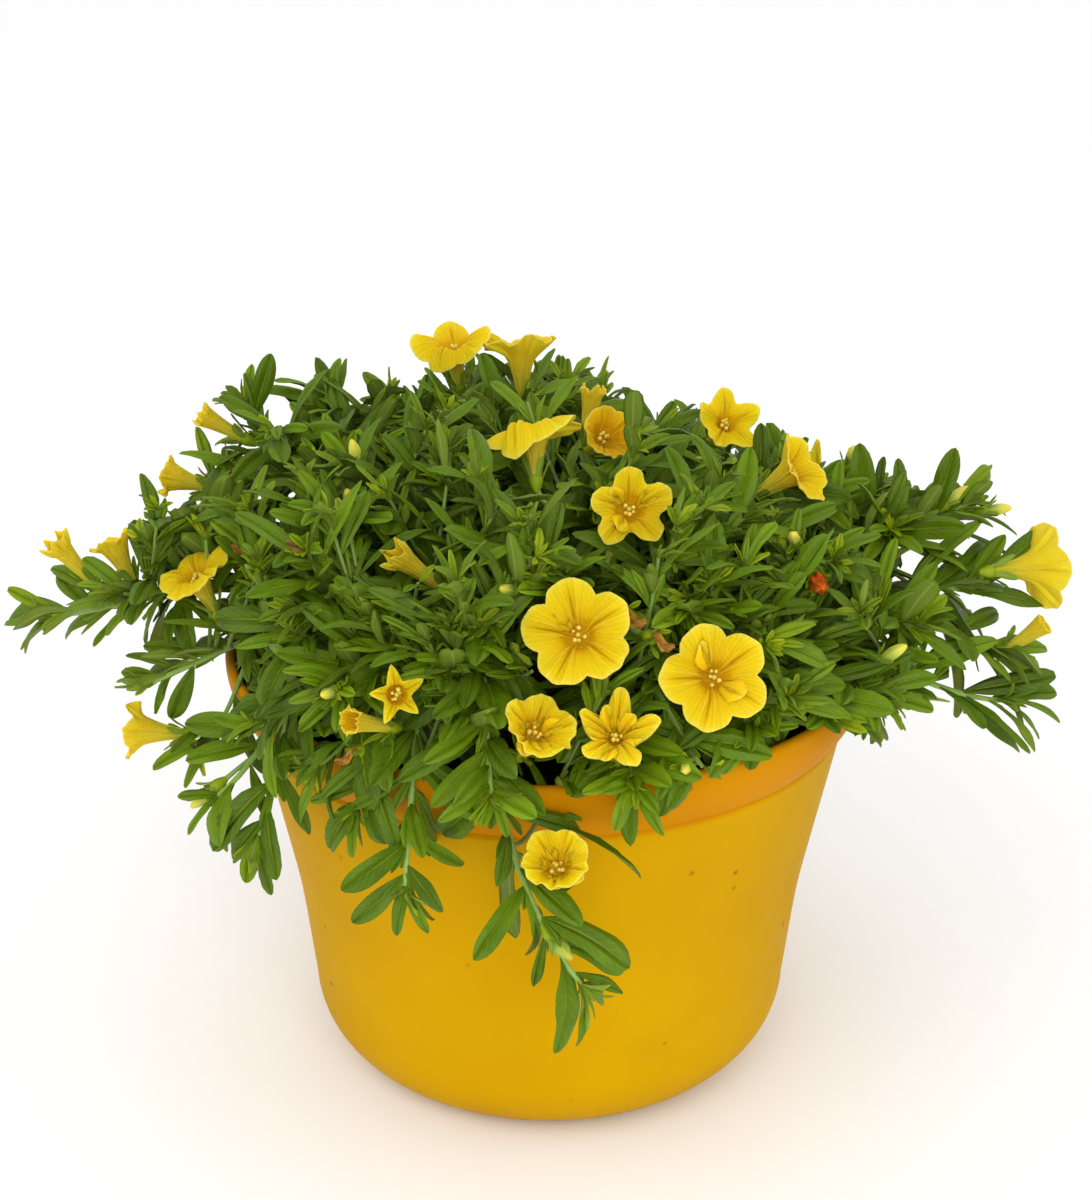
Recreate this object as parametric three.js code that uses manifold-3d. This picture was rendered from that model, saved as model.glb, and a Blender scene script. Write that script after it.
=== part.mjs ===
// A calibrachoa in its round plastic pot. Millimetres, +Z up, the pot's base centred on the origin.
// Azimuth is in degrees about +Z: 0 is +X (right), 90 is +Y (back), 180 is left and -90 is the front.
import * as THREE from 'three';
import { ParametricGeometry } from 'three/addons/geometries/ParametricGeometry.js';
import { mergeVertices } from 'three/addons/utils/BufferGeometryUtils.js';
import Module from 'manifold-3d';

const wasm = await Module();
wasm.setup();

// ---- driving dimensions ----
const POT_HEIGHT = 112;
const RIM_RADIUS = 80;
const GROOVE_RADIUS = 73.5;
const GROOVE_HEIGHT = 95;
const GROOVE_DEPTH = 0.8;
const KNEE_RADIUS = 63.8;
const KNEE_HEIGHT = 49;
const FOOT_RADIUS = 60.5;
const FOOT_CORNER = 21;
const POT_WALL = 2.2;
const POT_SEGMENTS = 36;
const SOIL_SEGMENTS = 18; // every other corner of the pot's
const DRAIN_HOLES = 4;
const DRAIN_RADIUS = 3.5;
const DRAIN_CIRCLE = 26;

const GAP = 0.3; // what separate pieces keep between them
const SOIL_HEIGHT = 98; // at the wall
const SOIL_CROWN = 5; // how much higher it stands at the middle
const ROOTING_DEPTH = 14;
const STEM_RADIUS = 1.15;
const SHOOT_RADIUS = 0.8;
const PEDICEL_RADIUS = 0.55;
const HOLE_RADIUS = 2;
const HOLE_SIDES = 5;
const STEM_SIDES = 3;

const LEAF_LENGTH = 25;
const LEAF_SLENDERNESS = 0.165; // half width over length
const LEAF_THICKNESS = 0.8;
const LEAVES_ON_STEM = 24; // of which one in LEAF_STRIDE is in the solids
const LEAVES_ON_SHOOT = 16;
const LEAF_STRIDE = 4;
const LEAF_ROLL = 0.6; // the range of a leaf's tilt about its own length, in radians
const LEAF_LIFT = 0.22; // how far leaves turn up to the light
const BARE_STEM = 0.3; // the share of a stem below its first leaf
const GOLDEN_ANGLE = 137.508;
const SEED = 20411;

const PETAL_THICKNESS = 0.7;

// ---- the plant's habit ----
// A spray is one rooted stem with its side shoots. root: azimuth, distance from the pot's axis.
// A tip is where a shoot's growing point ends: azimuth, reach from the axis, height, the pitch of its
// last stretch in degrees, how far the shoot first rises, and how far that last stretch swings round
// about +Z, which is none if it isn't given. The first tip is the stem's own.
const SPRAYS = [
  {
    name: 'spray_front_trailing',
    root: [-106, 52],
    tips: [[-86, 97, 72, -50, 78, 50], [-98, 91, 116, -20, 26]],
  },
  {
    name: 'spray_front_right',
    root: [-70, 50],
    tips: [[-78, 87, 116, -12, 42], [-66, 88, 115, -18, 24]],
  },
  {
    name: 'spray_front_left',
    root: [-121, 51],
    tips: [[-110, 94, 92, -60, 66], [-119, 88, 106, -35, 26]],
  },
  {
    name: 'spray_left_front',
    root: [-128, 50],
    tips: [[-123, 86, 132, 15, 36], [-137, 90, 118, -5, 22]],
  },
  {
    name: 'spray_left_low',
    root: [-142, 54],
    tips: [[-143, 97, 96, -30, 72], [-135, 94, 89, -60, 36]],
  },
  {
    name: 'spray_left_mid',
    root: [-163, 50],
    tips: [[-167, 102, 114, 12, 34], [-155, 90, 102, -15, 16]],
  },
  {
    name: 'spray_far_left',
    root: [179, 50],
    tips: [[-178, 122, 119, -5, 42], [180, 95, 139, 35, 22], [-172, 104, 130, 30, 12]],
  },
  { name: 'spray_left_back', root: [162, 48], tips: [[161, 80, 162, 50, 40], [171, 84, 147, 30, 22]] },
  { name: 'spray_back_left', root: [143, 46], tips: [[144, 72, 161, 55, 40], [150, 98, 127, 8, 20]] },
  { name: 'spray_back_a', root: [121, 48], tips: [[128, 65, 156, 50, 38], [117, 100, 128, 8, 22]] },
  { name: 'spray_back_b', root: [98, 50], tips: [[99, 102, 122, 0, 44], [92, 72, 152, 45, 24]] },
  { name: 'spray_back_c', root: [75, 48], tips: [[73, 101, 118, -8, 44], [80, 78, 148, 40, 24]] },
  { name: 'spray_back_d', root: [53, 50], tips: [[50, 105, 124, 5, 42], [60, 74, 141, 40, 22]] },
  { name: 'spray_back_right', root: [30, 48], tips: [[20, 80, 133, 35, 36], [34, 101, 128, 10, 22]] },
  { name: 'spray_right_back', root: [12, 50], tips: [[7, 101, 141, 38, 36], [13, 88, 134, 40, 20]] },
  { name: 'spray_far_right', root: [-4, 50], tips: [[0, 110, 126, 12, 36], [-6, 111, 113, 5, 14]] },
  { name: 'spray_right_low', root: [-20, 50], tips: [[-12, 116, 105, -8, 38], [-18, 91, 128, 25, 20]] },
  { name: 'spray_right_front', root: [-38, 50], tips: [[-33, 91, 119, 5, 34], [-43, 86, 119, 0, 18]] },
  {
    name: 'spray_front_corner',
    root: [-55, 50],
    tips: [[-52, 86, 128, 18, 36], [-57, 83, 121, 5, 16]],
  },
  {
    name: 'spray_inner_front',
    root: [-88, 27],
    tips: [[-89, 62, 152, 35, 40], [-106, 78, 138, 20, 26]],
  },
  {
    name: 'spray_inner_front_left',
    root: [-132, 27],
    tips: [[-118, 70, 145, 30, 40], [-137, 77, 143, 25, 24]],
  },
  {
    name: 'spray_inner_left',
    root: [-172, 26],
    tips: [[-150, 60, 154, 40, 42], [-166, 48, 160, 60, 22], [-165, 76, 141, 25, 14]],
  },
  {
    name: 'spray_inner_back_left',
    root: [135, 24],
    tips: [[124, 48, 160, 65, 42], [112, 30, 162, 70, 18]],
  },
  { name: 'spray_inner_back', root: [80, 26], tips: [[84, 46, 159, 66, 42], [45, 37, 151, 55, 20]] },
  { name: 'spray_inner_right', root: [10, 26], tips: [[14, 58, 150, 45, 42], [-28, 74, 147, 30, 26]] },
  {
    name: 'spray_inner_front_right',
    root: [-48, 28],
    tips: [[-64, 70, 147, 28, 42], [-33, 55, 157, 45, 22], [-54, 80, 140, 15, 12]],
  },
  {
    name: 'spray_crown',
    root: [-20, 6],
    tips: [[-93, 32, 162, 55, 44], [-135, 34, 162, 62, 22], [-42, 40, 160, 55, 18]],
  },
];

// A corolla's form. tube: length to the throat; throat: its radius; spread: how far the lobes open
// from the axis; notch: depth of the cuts between the lobes; point: 0 for round lobes, 1 for pointed.
const FORMS = {
  open: { tube: 10, throat: 3.3, spread: 76, notch: 0.24, point: 0, slices: 15 },
  cup: { tube: 10, throat: 3.2, spread: 46, notch: 0.2, point: 0.3, slices: 15 },
  bell: { tube: 10, throat: 3.2, spread: 60, notch: 0.2, point: 0.2, slices: 15 },
  star: { tube: 10, throat: 2.4, spread: 68, notch: 0.48, point: 1, slices: 10 },
  trumpet: { tube: 11, throat: 2.3, spread: 12, notch: 0.16, point: 0.6, slices: 10 },
};

// A bloom: the shoot that bears it and how far along, its mouth's centre, the azimuth and elevation
// that it faces, its form, and the length of a lobe measured from the axis.
const BLOOMS = [
  {
    name: 'bloom_front',
    on: ['spray_inner_front', 0, 0.9],
    at: [6, -76, 148],
    facing: [-94, 36],
    form: 'open',
    size: 12.6,
  },
  {
    name: 'bloom_front_right',
    on: ['spray_front_corner', 0, 0.8],
    at: [36, -79, 139],
    facing: [-82, 30],
    form: 'open',
    size: 12.2,
  },
  {
    name: 'bloom_upper',
    on: ['spray_crown', 0, 0.85],
    at: [18, -42, 165],
    facing: [-86, 36],
    form: 'open',
    size: 9.8,
  },
  {
    name: 'bloom_small_star',
    on: ['spray_inner_front', 1, 0.8],
    at: [-33, -82, 136],
    facing: [-76, 22],
    form: 'star',
    size: 6.8,
  },
  {
    name: 'bloom_cup',
    on: ['spray_front_trailing', 1, 0.7],
    at: [-2, -88, 132],
    facing: [-60, 52],
    form: 'cup',
    size: 9.5,
  },
  {
    name: 'bloom_star',
    on: ['spray_front_right', 0, 0.75],
    at: [14, -89, 131],
    facing: [-95, 55],
    form: 'star',
    size: 10.5,
  },
  {
    name: 'bloom_trailing',
    on: ['spray_front_trailing', 0, 0.82],
    at: [1, -97, 104],
    facing: [-100, 56],
    form: 'cup',
    size: 9,
  },
  {
    name: 'bloom_top_side',
    on: ['spray_crown', 0, 0.7],
    at: [-4, -16, 172],
    facing: [96, 50],
    form: 'open',
    size: 11.5,
  },
  {
    name: 'bloom_top_orange',
    on: ['spray_inner_back', 1, 0.75],
    at: [15, -6, 170],
    facing: [-10, 38],
    form: 'cup',
    size: 9.5,
  },
  {
    name: 'bloom_top_wilted',
    on: ['spray_inner_back', 1, 0.97],
    at: [11, 22, 171],
    facing: [60, 72],
    form: 'trumpet',
    size: 6.5,
  },
  {
    name: 'bloom_back_left',
    on: ['spray_inner_back_left', 0, 0.9],
    at: [-26, 50, 171],
    facing: [140, 50],
    form: 'open',
    size: 10.5,
  },
  {
    name: 'bloom_back_upright',
    on: ['spray_inner_back', 0, 0.85],
    at: [-9, 50, 172],
    facing: [95, 76],
    form: 'cup',
    size: 11,
  },
  {
    name: 'bloom_right_star',
    on: ['spray_inner_right', 0, 0.85],
    at: [43, 18, 166],
    facing: [-35, 48],
    form: 'star',
    size: 9.6,
  },
  {
    name: 'bloom_right_funnel',
    on: ['spray_inner_right', 0, 0.7],
    at: [62, -4, 161],
    facing: [-8, 38],
    form: 'cup',
    size: 10.5,
  },
  {
    name: 'bloom_far_right',
    on: ['spray_far_right', 0, 0.93],
    at: [121, 0, 133],
    facing: [14, 26],
    form: 'bell',
    size: 13.8,
  },
  {
    name: 'bloom_left_side',
    on: ['spray_left_mid', 0, 0.7],
    at: [-86, -20, 139],
    facing: [105, 52],
    form: 'open',
    size: 9.4,
  },
  {
    name: 'bloom_left_trumpet',
    on: ['spray_far_left', 0, 0.78],
    at: [-121, -2, 138],
    facing: [178, 50],
    form: 'trumpet',
    size: 8,
  },
  {
    name: 'bloom_left_small',
    on: ['spray_far_left', 1, 0.8],
    at: [-108, 6, 135],
    facing: [150, 60],
    form: 'cup',
    size: 6.4,
  },
  {
    name: 'bloom_left_pale',
    on: ['spray_left_back', 1, 0.85],
    at: [-96, 18, 149],
    facing: [176, 14],
    form: 'cup',
    size: 7,
  },
  {
    name: 'bloom_left_bud',
    on: ['spray_left_back', 0, 0.8],
    at: [-88, 24, 162],
    facing: [178, 30],
    form: 'trumpet',
    size: 5.5,
  },
  {
    name: 'bloom_left_low',
    on: ['spray_left_mid', 1, 0.8],
    at: [-101, -26, 99],
    facing: [178, 4],
    form: 'cup',
    size: 8.2,
  },
  {
    name: 'bloom_left_narrow',
    on: ['spray_inner_front_left', 0, 0.8],
    at: [-38, -50, 158],
    facing: [-172, 45],
    form: 'trumpet',
    size: 8.5,
  },
  {
    name: 'bloom_left_folded',
    on: ['spray_left_front', 0, 0.7],
    at: [-45, -84, 131],
    facing: [-140, 25],
    form: 'trumpet',
    size: 5.5,
  },
  {
    name: 'bloom_right_bud',
    on: ['spray_far_right', 1, 0.85],
    at: [122, -10, 121],
    facing: [-4, 40],
    form: 'trumpet',
    size: 5,
  },
  {
    name: 'bloom_back_far_left',
    on: ['spray_back_left', 1, 0.75],
    at: [-78, 66, 128],
    facing: [140, 30],
    form: 'open',
    size: 12.4,
  },
  {
    name: 'bloom_back_mid_left',
    on: ['spray_back_a', 1, 0.75],
    at: [-28, 97, 124],
    facing: [104, 24],
    form: 'open',
    size: 12.8,
  },
  {
    name: 'bloom_back_middle',
    on: ['spray_back_b', 0, 0.7],
    at: [4, 100, 131],
    facing: [86, 44],
    form: 'cup',
    size: 11,
  },
  {
    name: 'bloom_back_mid_right',
    on: ['spray_back_c', 0, 0.75],
    at: [38, 96, 118],
    facing: [68, 22],
    form: 'open',
    size: 12.6,
  },
  {
    name: 'bloom_back_far_right',
    on: ['spray_back_d', 0, 0.75],
    at: [74, 68, 136],
    facing: [44, 40],
    form: 'star',
    size: 10.8,
  },
];

// A closed bud, fused to its shoot: the shoot, how far along, its point's place and its length.
const BUDS = [
  { on: ['spray_inner_left', 1, 0.8], at: [-47, -8, 167], length: 8 },
  { on: ['spray_inner_left', 0, 0.8], at: [-47, -27, 162], length: 7 },
  { on: ['spray_right_back', 0, 0.8], at: [104, 14, 146], length: 8 },
  { on: ['spray_right_back', 0, 0.9], at: [114, 10, 142], length: 7 },
  { on: ['spray_front_right', 1, 0.85], at: [29, -89, 121], length: 6 },
  { on: ['spray_front_trailing', 0, 0.9], at: [5, -95, 77], length: 8 },
  { on: ['spray_left_low', 0, 0.85], at: [-88, -58, 97], length: 8 },
  { on: ['spray_right_front', 0, 0.8], at: [82, -46, 131], length: 8 },
  { on: ['spray_inner_front', 0, 0.8], at: [-11, -68, 155], length: 6 },
  { on: ['spray_left_front', 0, 0.9], at: [-50, -78, 134], length: 6 },
  { on: ['spray_inner_right', 1, 0.8], at: [55, -42, 157], length: 7 },
  { on: ['spray_back_right', 0, 0.9], at: [76, 24, 153], length: 6 },
];

// ---- materials ----
const POT_COLOUR = 0xd9a407;
const SOIL_COLOUR = 0x2a2018;
const LEAF_COLOUR = 0x4a7018;
const PETAL_COLOUR = 0xf4cc1c;

function finish(colour, roughness) {
  return new THREE.MeshStandardMaterial({ color: colour, roughness, metalness: 0, flatShading: true });
}

// ---- solids ----
const WELD = 1e-4;

// A closed geometry as a solid, with its seam and poles welded and the faces that this flattens left out.
function solidOf(geometry) {
  geometry.deleteAttribute('normal');
  geometry.deleteAttribute('uv');
  const welded = mergeVertices(geometry, WELD);
  const corners = welded.index.array;
  const kept = [];
  for (let i = 0; i < corners.length; i += 3) {
    const [a, b, c] = corners.subarray(i, i + 3);
    if (a !== b && b !== c && c !== a) kept.push(a, b, c);
  }
  const vertProperties = welded.attributes.position.array;
  return new wasm.Manifold(new wasm.Mesh({ numProp: 3, vertProperties, triVerts: new Uint32Array(kept) }));
}

// The largest body of a solid: a loose scrap is dropped, and a hollow that fusing sealed is filled.
function largestBody(solid) {
  return solid.decompose().reduce((best, body) => (body.volume() > best.volume() ? body : best));
}

function meshOf(name, solid, material) {
  const { numProp, vertProperties, triVerts } = solid.getMesh();
  const geometry = new THREE.BufferGeometry();
  geometry.setAttribute('position', new THREE.BufferAttribute(vertProperties, numProp));
  geometry.setIndex(new THREE.BufferAttribute(triVerts, 1));
  const mesh = new THREE.Mesh(geometry, material);
  mesh.name = name;
  return mesh;
}

function boxesMeet(a, b) {
  return [0, 1, 2].every((i) => a.min[i] <= b.max[i] && b.min[i] <= a.max[i]);
}

// A solid with its box, so that far pieces are passed over quickly.
function boxed(solid) {
  return { solid, box: solid.boundingBox() };
}

function isClear(candidate, obstacles) {
  return obstacles.every(
    (other) => !boxesMeet(candidate.box, other.box) || candidate.solid.intersect(other.solid).isEmpty(),
  );
}

// ---- directions ----
const UP = new THREE.Vector3(0, 0, 1);

function polar(azimuth, reach, height) {
  const angle = THREE.MathUtils.degToRad(azimuth);
  return new THREE.Vector3(reach * Math.cos(angle), reach * Math.sin(angle), height);
}

function heading(azimuth, elevation) {
  const angle = THREE.MathUtils.degToRad(elevation);
  return polar(azimuth, Math.cos(angle), Math.sin(angle));
}

function across(vector, axis) {
  return vector.clone().addScaledVector(axis, -vector.dot(axis)).normalize();
}

// A number from 0 to 1 that depends on the seed and the whole numbers given.
function draw(...keys) {
  let hash = SEED;
  for (const key of keys) {
    hash = Math.imul(hash ^ key, 2654435761);
    hash ^= hash >>> 15;
    hash = Math.imul(hash, 2246822519);
    hash ^= hash >>> 13;
  }
  return (hash >>> 0) / 4294967296;
}

// ---- pot ----
// The outer wall from the axis up: flat base, round foot, knee, groove, and the collar's flare to the lip.
function potOutline() {
  const outline = [new THREE.Vector2(0, 0)];
  const corner = new THREE.Vector2(FOOT_RADIUS - FOOT_CORNER, FOOT_CORNER);
  const steps = 4;
  for (let i = 0; i <= steps; i++) {
    const angle = ((i / steps - 1) * Math.PI) / 2;
    const x = corner.x + FOOT_CORNER * Math.cos(angle);
    outline.push(new THREE.Vector2(x, corner.y + FOOT_CORNER * Math.sin(angle)));
  }
  outline.push(new THREE.Vector2(KNEE_RADIUS, KNEE_HEIGHT));
  outline.push(new THREE.Vector2(GROOVE_RADIUS, GROOVE_HEIGHT));
  outline.push(new THREE.Vector2(GROOVE_RADIUS - GROOVE_DEPTH, GROOVE_HEIGHT + 1));
  const collarTop = POT_HEIGHT - 2;
  const collar = [0.3, 0.65, 1];
  for (const rise of collar) {
    const flare = Math.sin((rise * Math.PI) / 2);
    const radius = GROOVE_RADIUS + (RIM_RADIUS - GROOVE_RADIUS) * flare;
    outline.push(new THREE.Vector2(radius, GROOVE_HEIGHT + 1 + rise * (collarTop - GROOVE_HEIGHT - 1)));
  }
  outline.push(new THREE.Vector2(RIM_RADIUS - 0.5, POT_HEIGHT - 0.6));
  outline.push(new THREE.Vector2(RIM_RADIUS - 1.5, POT_HEIGHT));
  return outline;
}

// The inner wall at a height, a wall's thickness inside the outer one.
function innerRadius(height) {
  if (height < FOOT_CORNER) return FOOT_RADIUS - POT_WALL;
  const [low, high] =
    height < KNEE_HEIGHT
      ? [[FOOT_RADIUS, FOOT_CORNER], [KNEE_RADIUS, KNEE_HEIGHT]]
      : [[KNEE_RADIUS, KNEE_HEIGHT], [GROOVE_RADIUS - GROOVE_DEPTH, GROOVE_HEIGHT + 1]];
  const share = (height - low[1]) / (high[1] - low[1]);
  return low[0] + share * (high[0] - low[0]) - POT_WALL;
}

function innerOutline(shrink, steps) {
  const floor = POT_WALL + shrink;
  const foot = FOOT_CORNER - POT_WALL - shrink;
  const outline = [new THREE.Vector2(0, floor)];
  for (let i = 0; i <= steps; i++) {
    const angle = ((i / steps - 1) * Math.PI) / 2;
    const x = FOOT_RADIUS - FOOT_CORNER + foot * Math.cos(angle);
    outline.push(new THREE.Vector2(x, floor + foot + foot * Math.sin(angle)));
  }
  outline.push(new THREE.Vector2(innerRadius(KNEE_HEIGHT) - shrink, KNEE_HEIGHT));
  return outline;
}

function pot() {
  const inside = innerOutline(0, 4);
  inside.push(new THREE.Vector2(innerRadius(GROOVE_HEIGHT), GROOVE_HEIGHT));
  inside.push(new THREE.Vector2(RIM_RADIUS - POT_WALL - 1.6, POT_HEIGHT - 6));
  inside.push(new THREE.Vector2(RIM_RADIUS - POT_WALL - 0.6, POT_HEIGHT - 0.5));
  const walls = [...potOutline(), ...inside.reverse()];
  let drained = solidOf(standing(new THREE.LatheGeometry(walls, POT_SEGMENTS)));
  for (let i = 0; i < DRAIN_HOLES; i++) {
    const drain = new THREE.CylinderGeometry(DRAIN_RADIUS, DRAIN_RADIUS, 3 * POT_WALL, 10);
    const spot = polar((360 * (i + 0.5)) / DRAIN_HOLES, DRAIN_CIRCLE, 0);
    drained = drained.subtract(solidOf(standing(drain).translate(spot.x, spot.y, 0)));
  }
  return drained;
}

// three.js turns its lathes and cylinders about Y, and the pot stands on Z.
function standing(geometry) {
  return geometry.rotateX(Math.PI / 2);
}

// ---- soil ----
function soilTop(reach) {
  return SOIL_HEIGHT + SOIL_CROWN * (1 - (reach / GROOVE_RADIUS) ** 2);
}

function soil() {
  const outline = innerOutline(GAP, 2);
  const edge = innerRadius(SOIL_HEIGHT) - GAP - 0.3;
  for (const share of [1, 0.75, 0.45]) outline.push(new THREE.Vector2(edge * share, soilTop(edge * share)));
  outline.push(new THREE.Vector2(0, soilTop(0)));
  let body = solidOf(standing(new THREE.LatheGeometry(outline, SOIL_SEGMENTS)));
  for (const spray of SPRAYS) {
    const depth = ROOTING_DEPTH + GAP;
    const hole = new THREE.CylinderGeometry(HOLE_RADIUS, HOLE_RADIUS, 2 * depth, HOLE_SIDES);
    const [azimuth, reach] = spray.root;
    const spot = polar(azimuth, reach, soilTop(reach));
    body = body.subtract(solidOf(standing(hole).translate(spot.x, spot.y, spot.z)));
  }
  return body;
}

// ---- shoots ----
// The root's stem rises first and then leans out to its tip; a side shoot leaves its stem along it.
function shootCurve(spray, order, stem) {
  const [azimuth, reach, height, pitch, rise, swing = 0] = spray.tips[order];
  const tip = polar(azimuth, reach, height);
  const [rootAzimuth, rootReach] = spray.root;
  const foot = order === 0 ? polar(rootAzimuth, rootReach, soilTop(rootReach) + 0.5) : stem.getPoint(0.5);
  const out = tip.clone().sub(foot).setZ(0);
  if (out.length() < 4) out.copy(polar(azimuth, 1, 0));
  out.normalize();
  const length = tip.distanceTo(foot);
  const aim = out.clone().applyAxisAngle(UP, THREE.MathUtils.degToRad(swing));
  aim.multiplyScalar(Math.cos(THREE.MathUtils.degToRad(pitch)));
  aim.addScaledVector(UP, Math.sin(THREE.MathUtils.degToRad(pitch)));
  const leave = order === 0 ? UP.clone().multiplyScalar(rise) : UP.clone().multiplyScalar(rise * 0.7);
  const start = foot.clone().add(leave).addScaledVector(out, order === 0 ? 0 : length * 0.2);
  const hang = rise * Math.max(0, -aim.z);
  const end = tip.clone().addScaledVector(aim, -0.36 * length - 0.45 * hang);
  return new THREE.CubicBezierCurve3(foot, start, end, tip);
}

// A stem with the straight stretch that stands in its hole.
function rooted(stem) {
  const collar = stem.getPoint(0);
  const foot = collar.clone().addScaledVector(UP, -ROOTING_DEPTH);
  const path = new THREE.CurvePath();
  path.add(new THREE.LineCurve3(foot, collar));
  path.add(stem);
  return path;
}

// A tube of few flat sides along a curve.
function tube(curve, radius, sides, steps) {
  const corners = [];
  for (let i = 0; i < sides; i++) {
    const angle = (2 * Math.PI * (i + 0.5)) / sides;
    corners.push(new THREE.Vector2(radius * Math.cos(angle), radius * Math.sin(angle)));
  }
  const section = new THREE.Shape(corners);
  return solidOf(new THREE.ExtrudeGeometry(section, { steps, extrudePath: curve, bevelEnabled: false }));
}

// ---- leaves ----
// Half width along the blade, 1 at its widest: narrow at the stalk, widest past the middle, blunt tip.
function bladeShape(along) {
  const widest = 0.347;
  return (along * (1 - along) ** 0.6) / widest;
}

// How a leaf stands on its shoot. Leaves turn round the shoot by the golden angle, close up and get
// shorter towards its tip, lift their upper faces to the light and arch down.
function leafStance(curve, count, rank, keys, turn) {
  const share = (rank + 0.5) / count;
  const along = BARE_STEM + (1 - BARE_STEM) * (1 - (1 - share) ** 1.5);
  const foot = curve.getPoint(along);
  const axis = curve.getTangent(along);
  const side = across(Math.abs(axis.z) < 0.95 ? UP : new THREE.Vector3(1, 0, 0), axis);
  const flank = new THREE.Vector3().crossVectors(axis, side);
  const round = THREE.MathUtils.degToRad(rank * GOLDEN_ANGLE + 360 * draw(...keys, 1) + turn);
  const radial = side.multiplyScalar(Math.cos(round)).addScaledVector(flank, Math.sin(round));
  const open = THREE.MathUtils.degToRad(68 - 44 * share + 14 * (draw(...keys, rank, 2) - 0.5));
  const direction = axis.clone().multiplyScalar(Math.cos(open)).addScaledVector(radial, Math.sin(open));
  direction.addScaledVector(UP, LEAF_LIFT).normalize();
  const upper = across(axis, direction).multiplyScalar(0.55).addScaledVector(across(UP, direction), 0.75);
  const roll = LEAF_ROLL * (draw(...keys, rank, 3) - 0.5);
  upper.addScaledVector(new THREE.Vector3().crossVectors(direction, upper), roll);
  const length = LEAF_LENGTH * (0.92 - 0.5 * share ** 2.2) * (0.78 + 0.36 * draw(...keys, rank, 4));
  const bend = 0.25 + 0.75 * draw(...keys, rank, 5);
  return { foot, direction, upper: across(upper, direction), length, bend };
}

// A blade with three edges, its two margins and the keel below them, closing to a point at both ends.
// Its middle line is an arc that starts along the direction and curves away from the upper face.
function leaf({ foot, direction, upper, length, bend }, grow) {
  const side = new THREE.Vector3().crossVectors(direction, upper);
  const halfWidth = length * LEAF_SLENDERNESS;
  const radius = length / bend;
  const blade = (u, v, target) => {
    const turn = (v * (length + grow)) / radius;
    const ahead = radius * Math.sin(turn);
    const drop = radius * (1 - Math.cos(turn));
    const width = bladeShape(v) * halfWidth + (v > 0 && v < 1 ? grow : 0);
    const thickness = v > 0 && v < 1 ? LEAF_THICKNESS + 0.12 * width + grow : 0;
    const corner = Math.round(u * 3) % 3;
    const sideways = [-width, width, 0][corner];
    const lift = [0.5, 0.5, -0.5][corner] * thickness;
    target.copy(foot).addScaledVector(direction, ahead + lift * Math.sin(turn));
    target.addScaledVector(upper, lift * Math.cos(turn) - drop).addScaledVector(side, sideways);
  };
  return solidOf(new ParametricGeometry(blade, 3, length > 21 ? 4 : 3));
}

// ---- blooms ----
function lobeLength(bloom) {
  return bloom.size - FORMS[bloom.form].throat;
}

function mouthHeight(bloom) {
  const form = FORMS[bloom.form];
  return form.tube + lobeLength(bloom) * Math.cos(THREE.MathUtils.degToRad(form.spread));
}

// Where the corolla's tube starts.
function bloomFoot(bloom) {
  return new THREE.Vector3(...bloom.at).addScaledVector(heading(...bloom.facing), -mouthHeight(bloom));
}

// The share of a lobe's length that the rim has at an angle: round lobes part at sharp notches, and
// pointed lobes narrow from a broad foot.
function rimShare(angle, form) {
  const rounded = Math.abs(Math.cos(2.5 * angle)) ** 0.8;
  const pointed = 1 - Math.abs(Math.sin(2.5 * angle)) ** 0.8;
  return 1 - form.notch * (1 - rounded * (1 - form.point) - pointed * form.point);
}

// A corolla: rings of points from the tube's foot up its outside to the rim, and down the inside to
// the throat's floor. Its first ring and its last are points on the axis.
function corolla(bloom, grow) {
  const form = FORMS[bloom.form];
  const axis = heading(...bloom.facing);
  const right = across(Math.abs(axis.z) < 0.95 ? UP : new THREE.Vector3(1, 0, 0), axis).cross(axis);
  const high = new THREE.Vector3().crossVectors(axis, right);
  const foot = bloomFoot(bloom);
  const spread = THREE.MathUtils.degToRad(form.spread);
  const skin = PETAL_THICKNESS / 2 + grow;
  const rings = 5;
  const surface = (u, v, target) => {
    const ring = Math.round(v * rings);
    const angle = 2 * Math.PI * u;
    const lobe = lobeLength(bloom) * rimShare(angle, form) + grow;
    const rim = form.throat + lobe * Math.sin(spread);
    const top = form.tube + lobe * Math.cos(spread);
    const [radius, height] = [
      [0, -grow],
      [form.throat + skin * Math.cos(spread) + 0.2, form.tube - skin],
      [rim + skin * Math.cos(spread), top - skin * Math.sin(spread)],
      [rim - skin * Math.cos(spread), top + skin * Math.sin(spread)],
      [form.throat - skin, form.tube + skin],
      [0, form.tube - 3],
    ][ring];
    target.copy(foot).addScaledVector(axis, height);
    target.addScaledVector(right, radius * Math.cos(angle)).addScaledVector(high, radius * Math.sin(angle));
  };
  return solidOf(new ParametricGeometry(surface, form.slices, rings));
}

// The stalk from a shoot to a bloom's foot, which ends in the green calyx that the tube stands on.
function pedicelCurve(from, along, foot, axis) {
  const reach = from.distanceTo(foot);
  const start = from.clone().addScaledVector(along, 0.3 * reach);
  const end = foot.clone().addScaledVector(axis, -0.35 * reach);
  return new THREE.CubicBezierCurve3(from, start, end, foot);
}

function calyx(foot, axis) {
  const cup = new THREE.ConeGeometry(1.7, 3.2, 5);
  cup.rotateX(Math.PI).translate(0, -1.6 - GAP, 0);
  cup.applyQuaternion(new THREE.Quaternion().setFromUnitVectors(new THREE.Vector3(0, 1, 0), axis));
  return solidOf(cup.translate(foot.x, foot.y, foot.z));
}

function bud(point, axis, length) {
  const shape = new THREE.SphereGeometry(1, 5, 4).scale(1.5, length / 2, 1.5);
  shape.translate(0, -length / 2, 0);
  shape.applyQuaternion(new THREE.Quaternion().setFromUnitVectors(new THREE.Vector3(0, 1, 0), axis));
  return solidOf(shape.translate(point.x, point.y, point.z));
}

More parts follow.
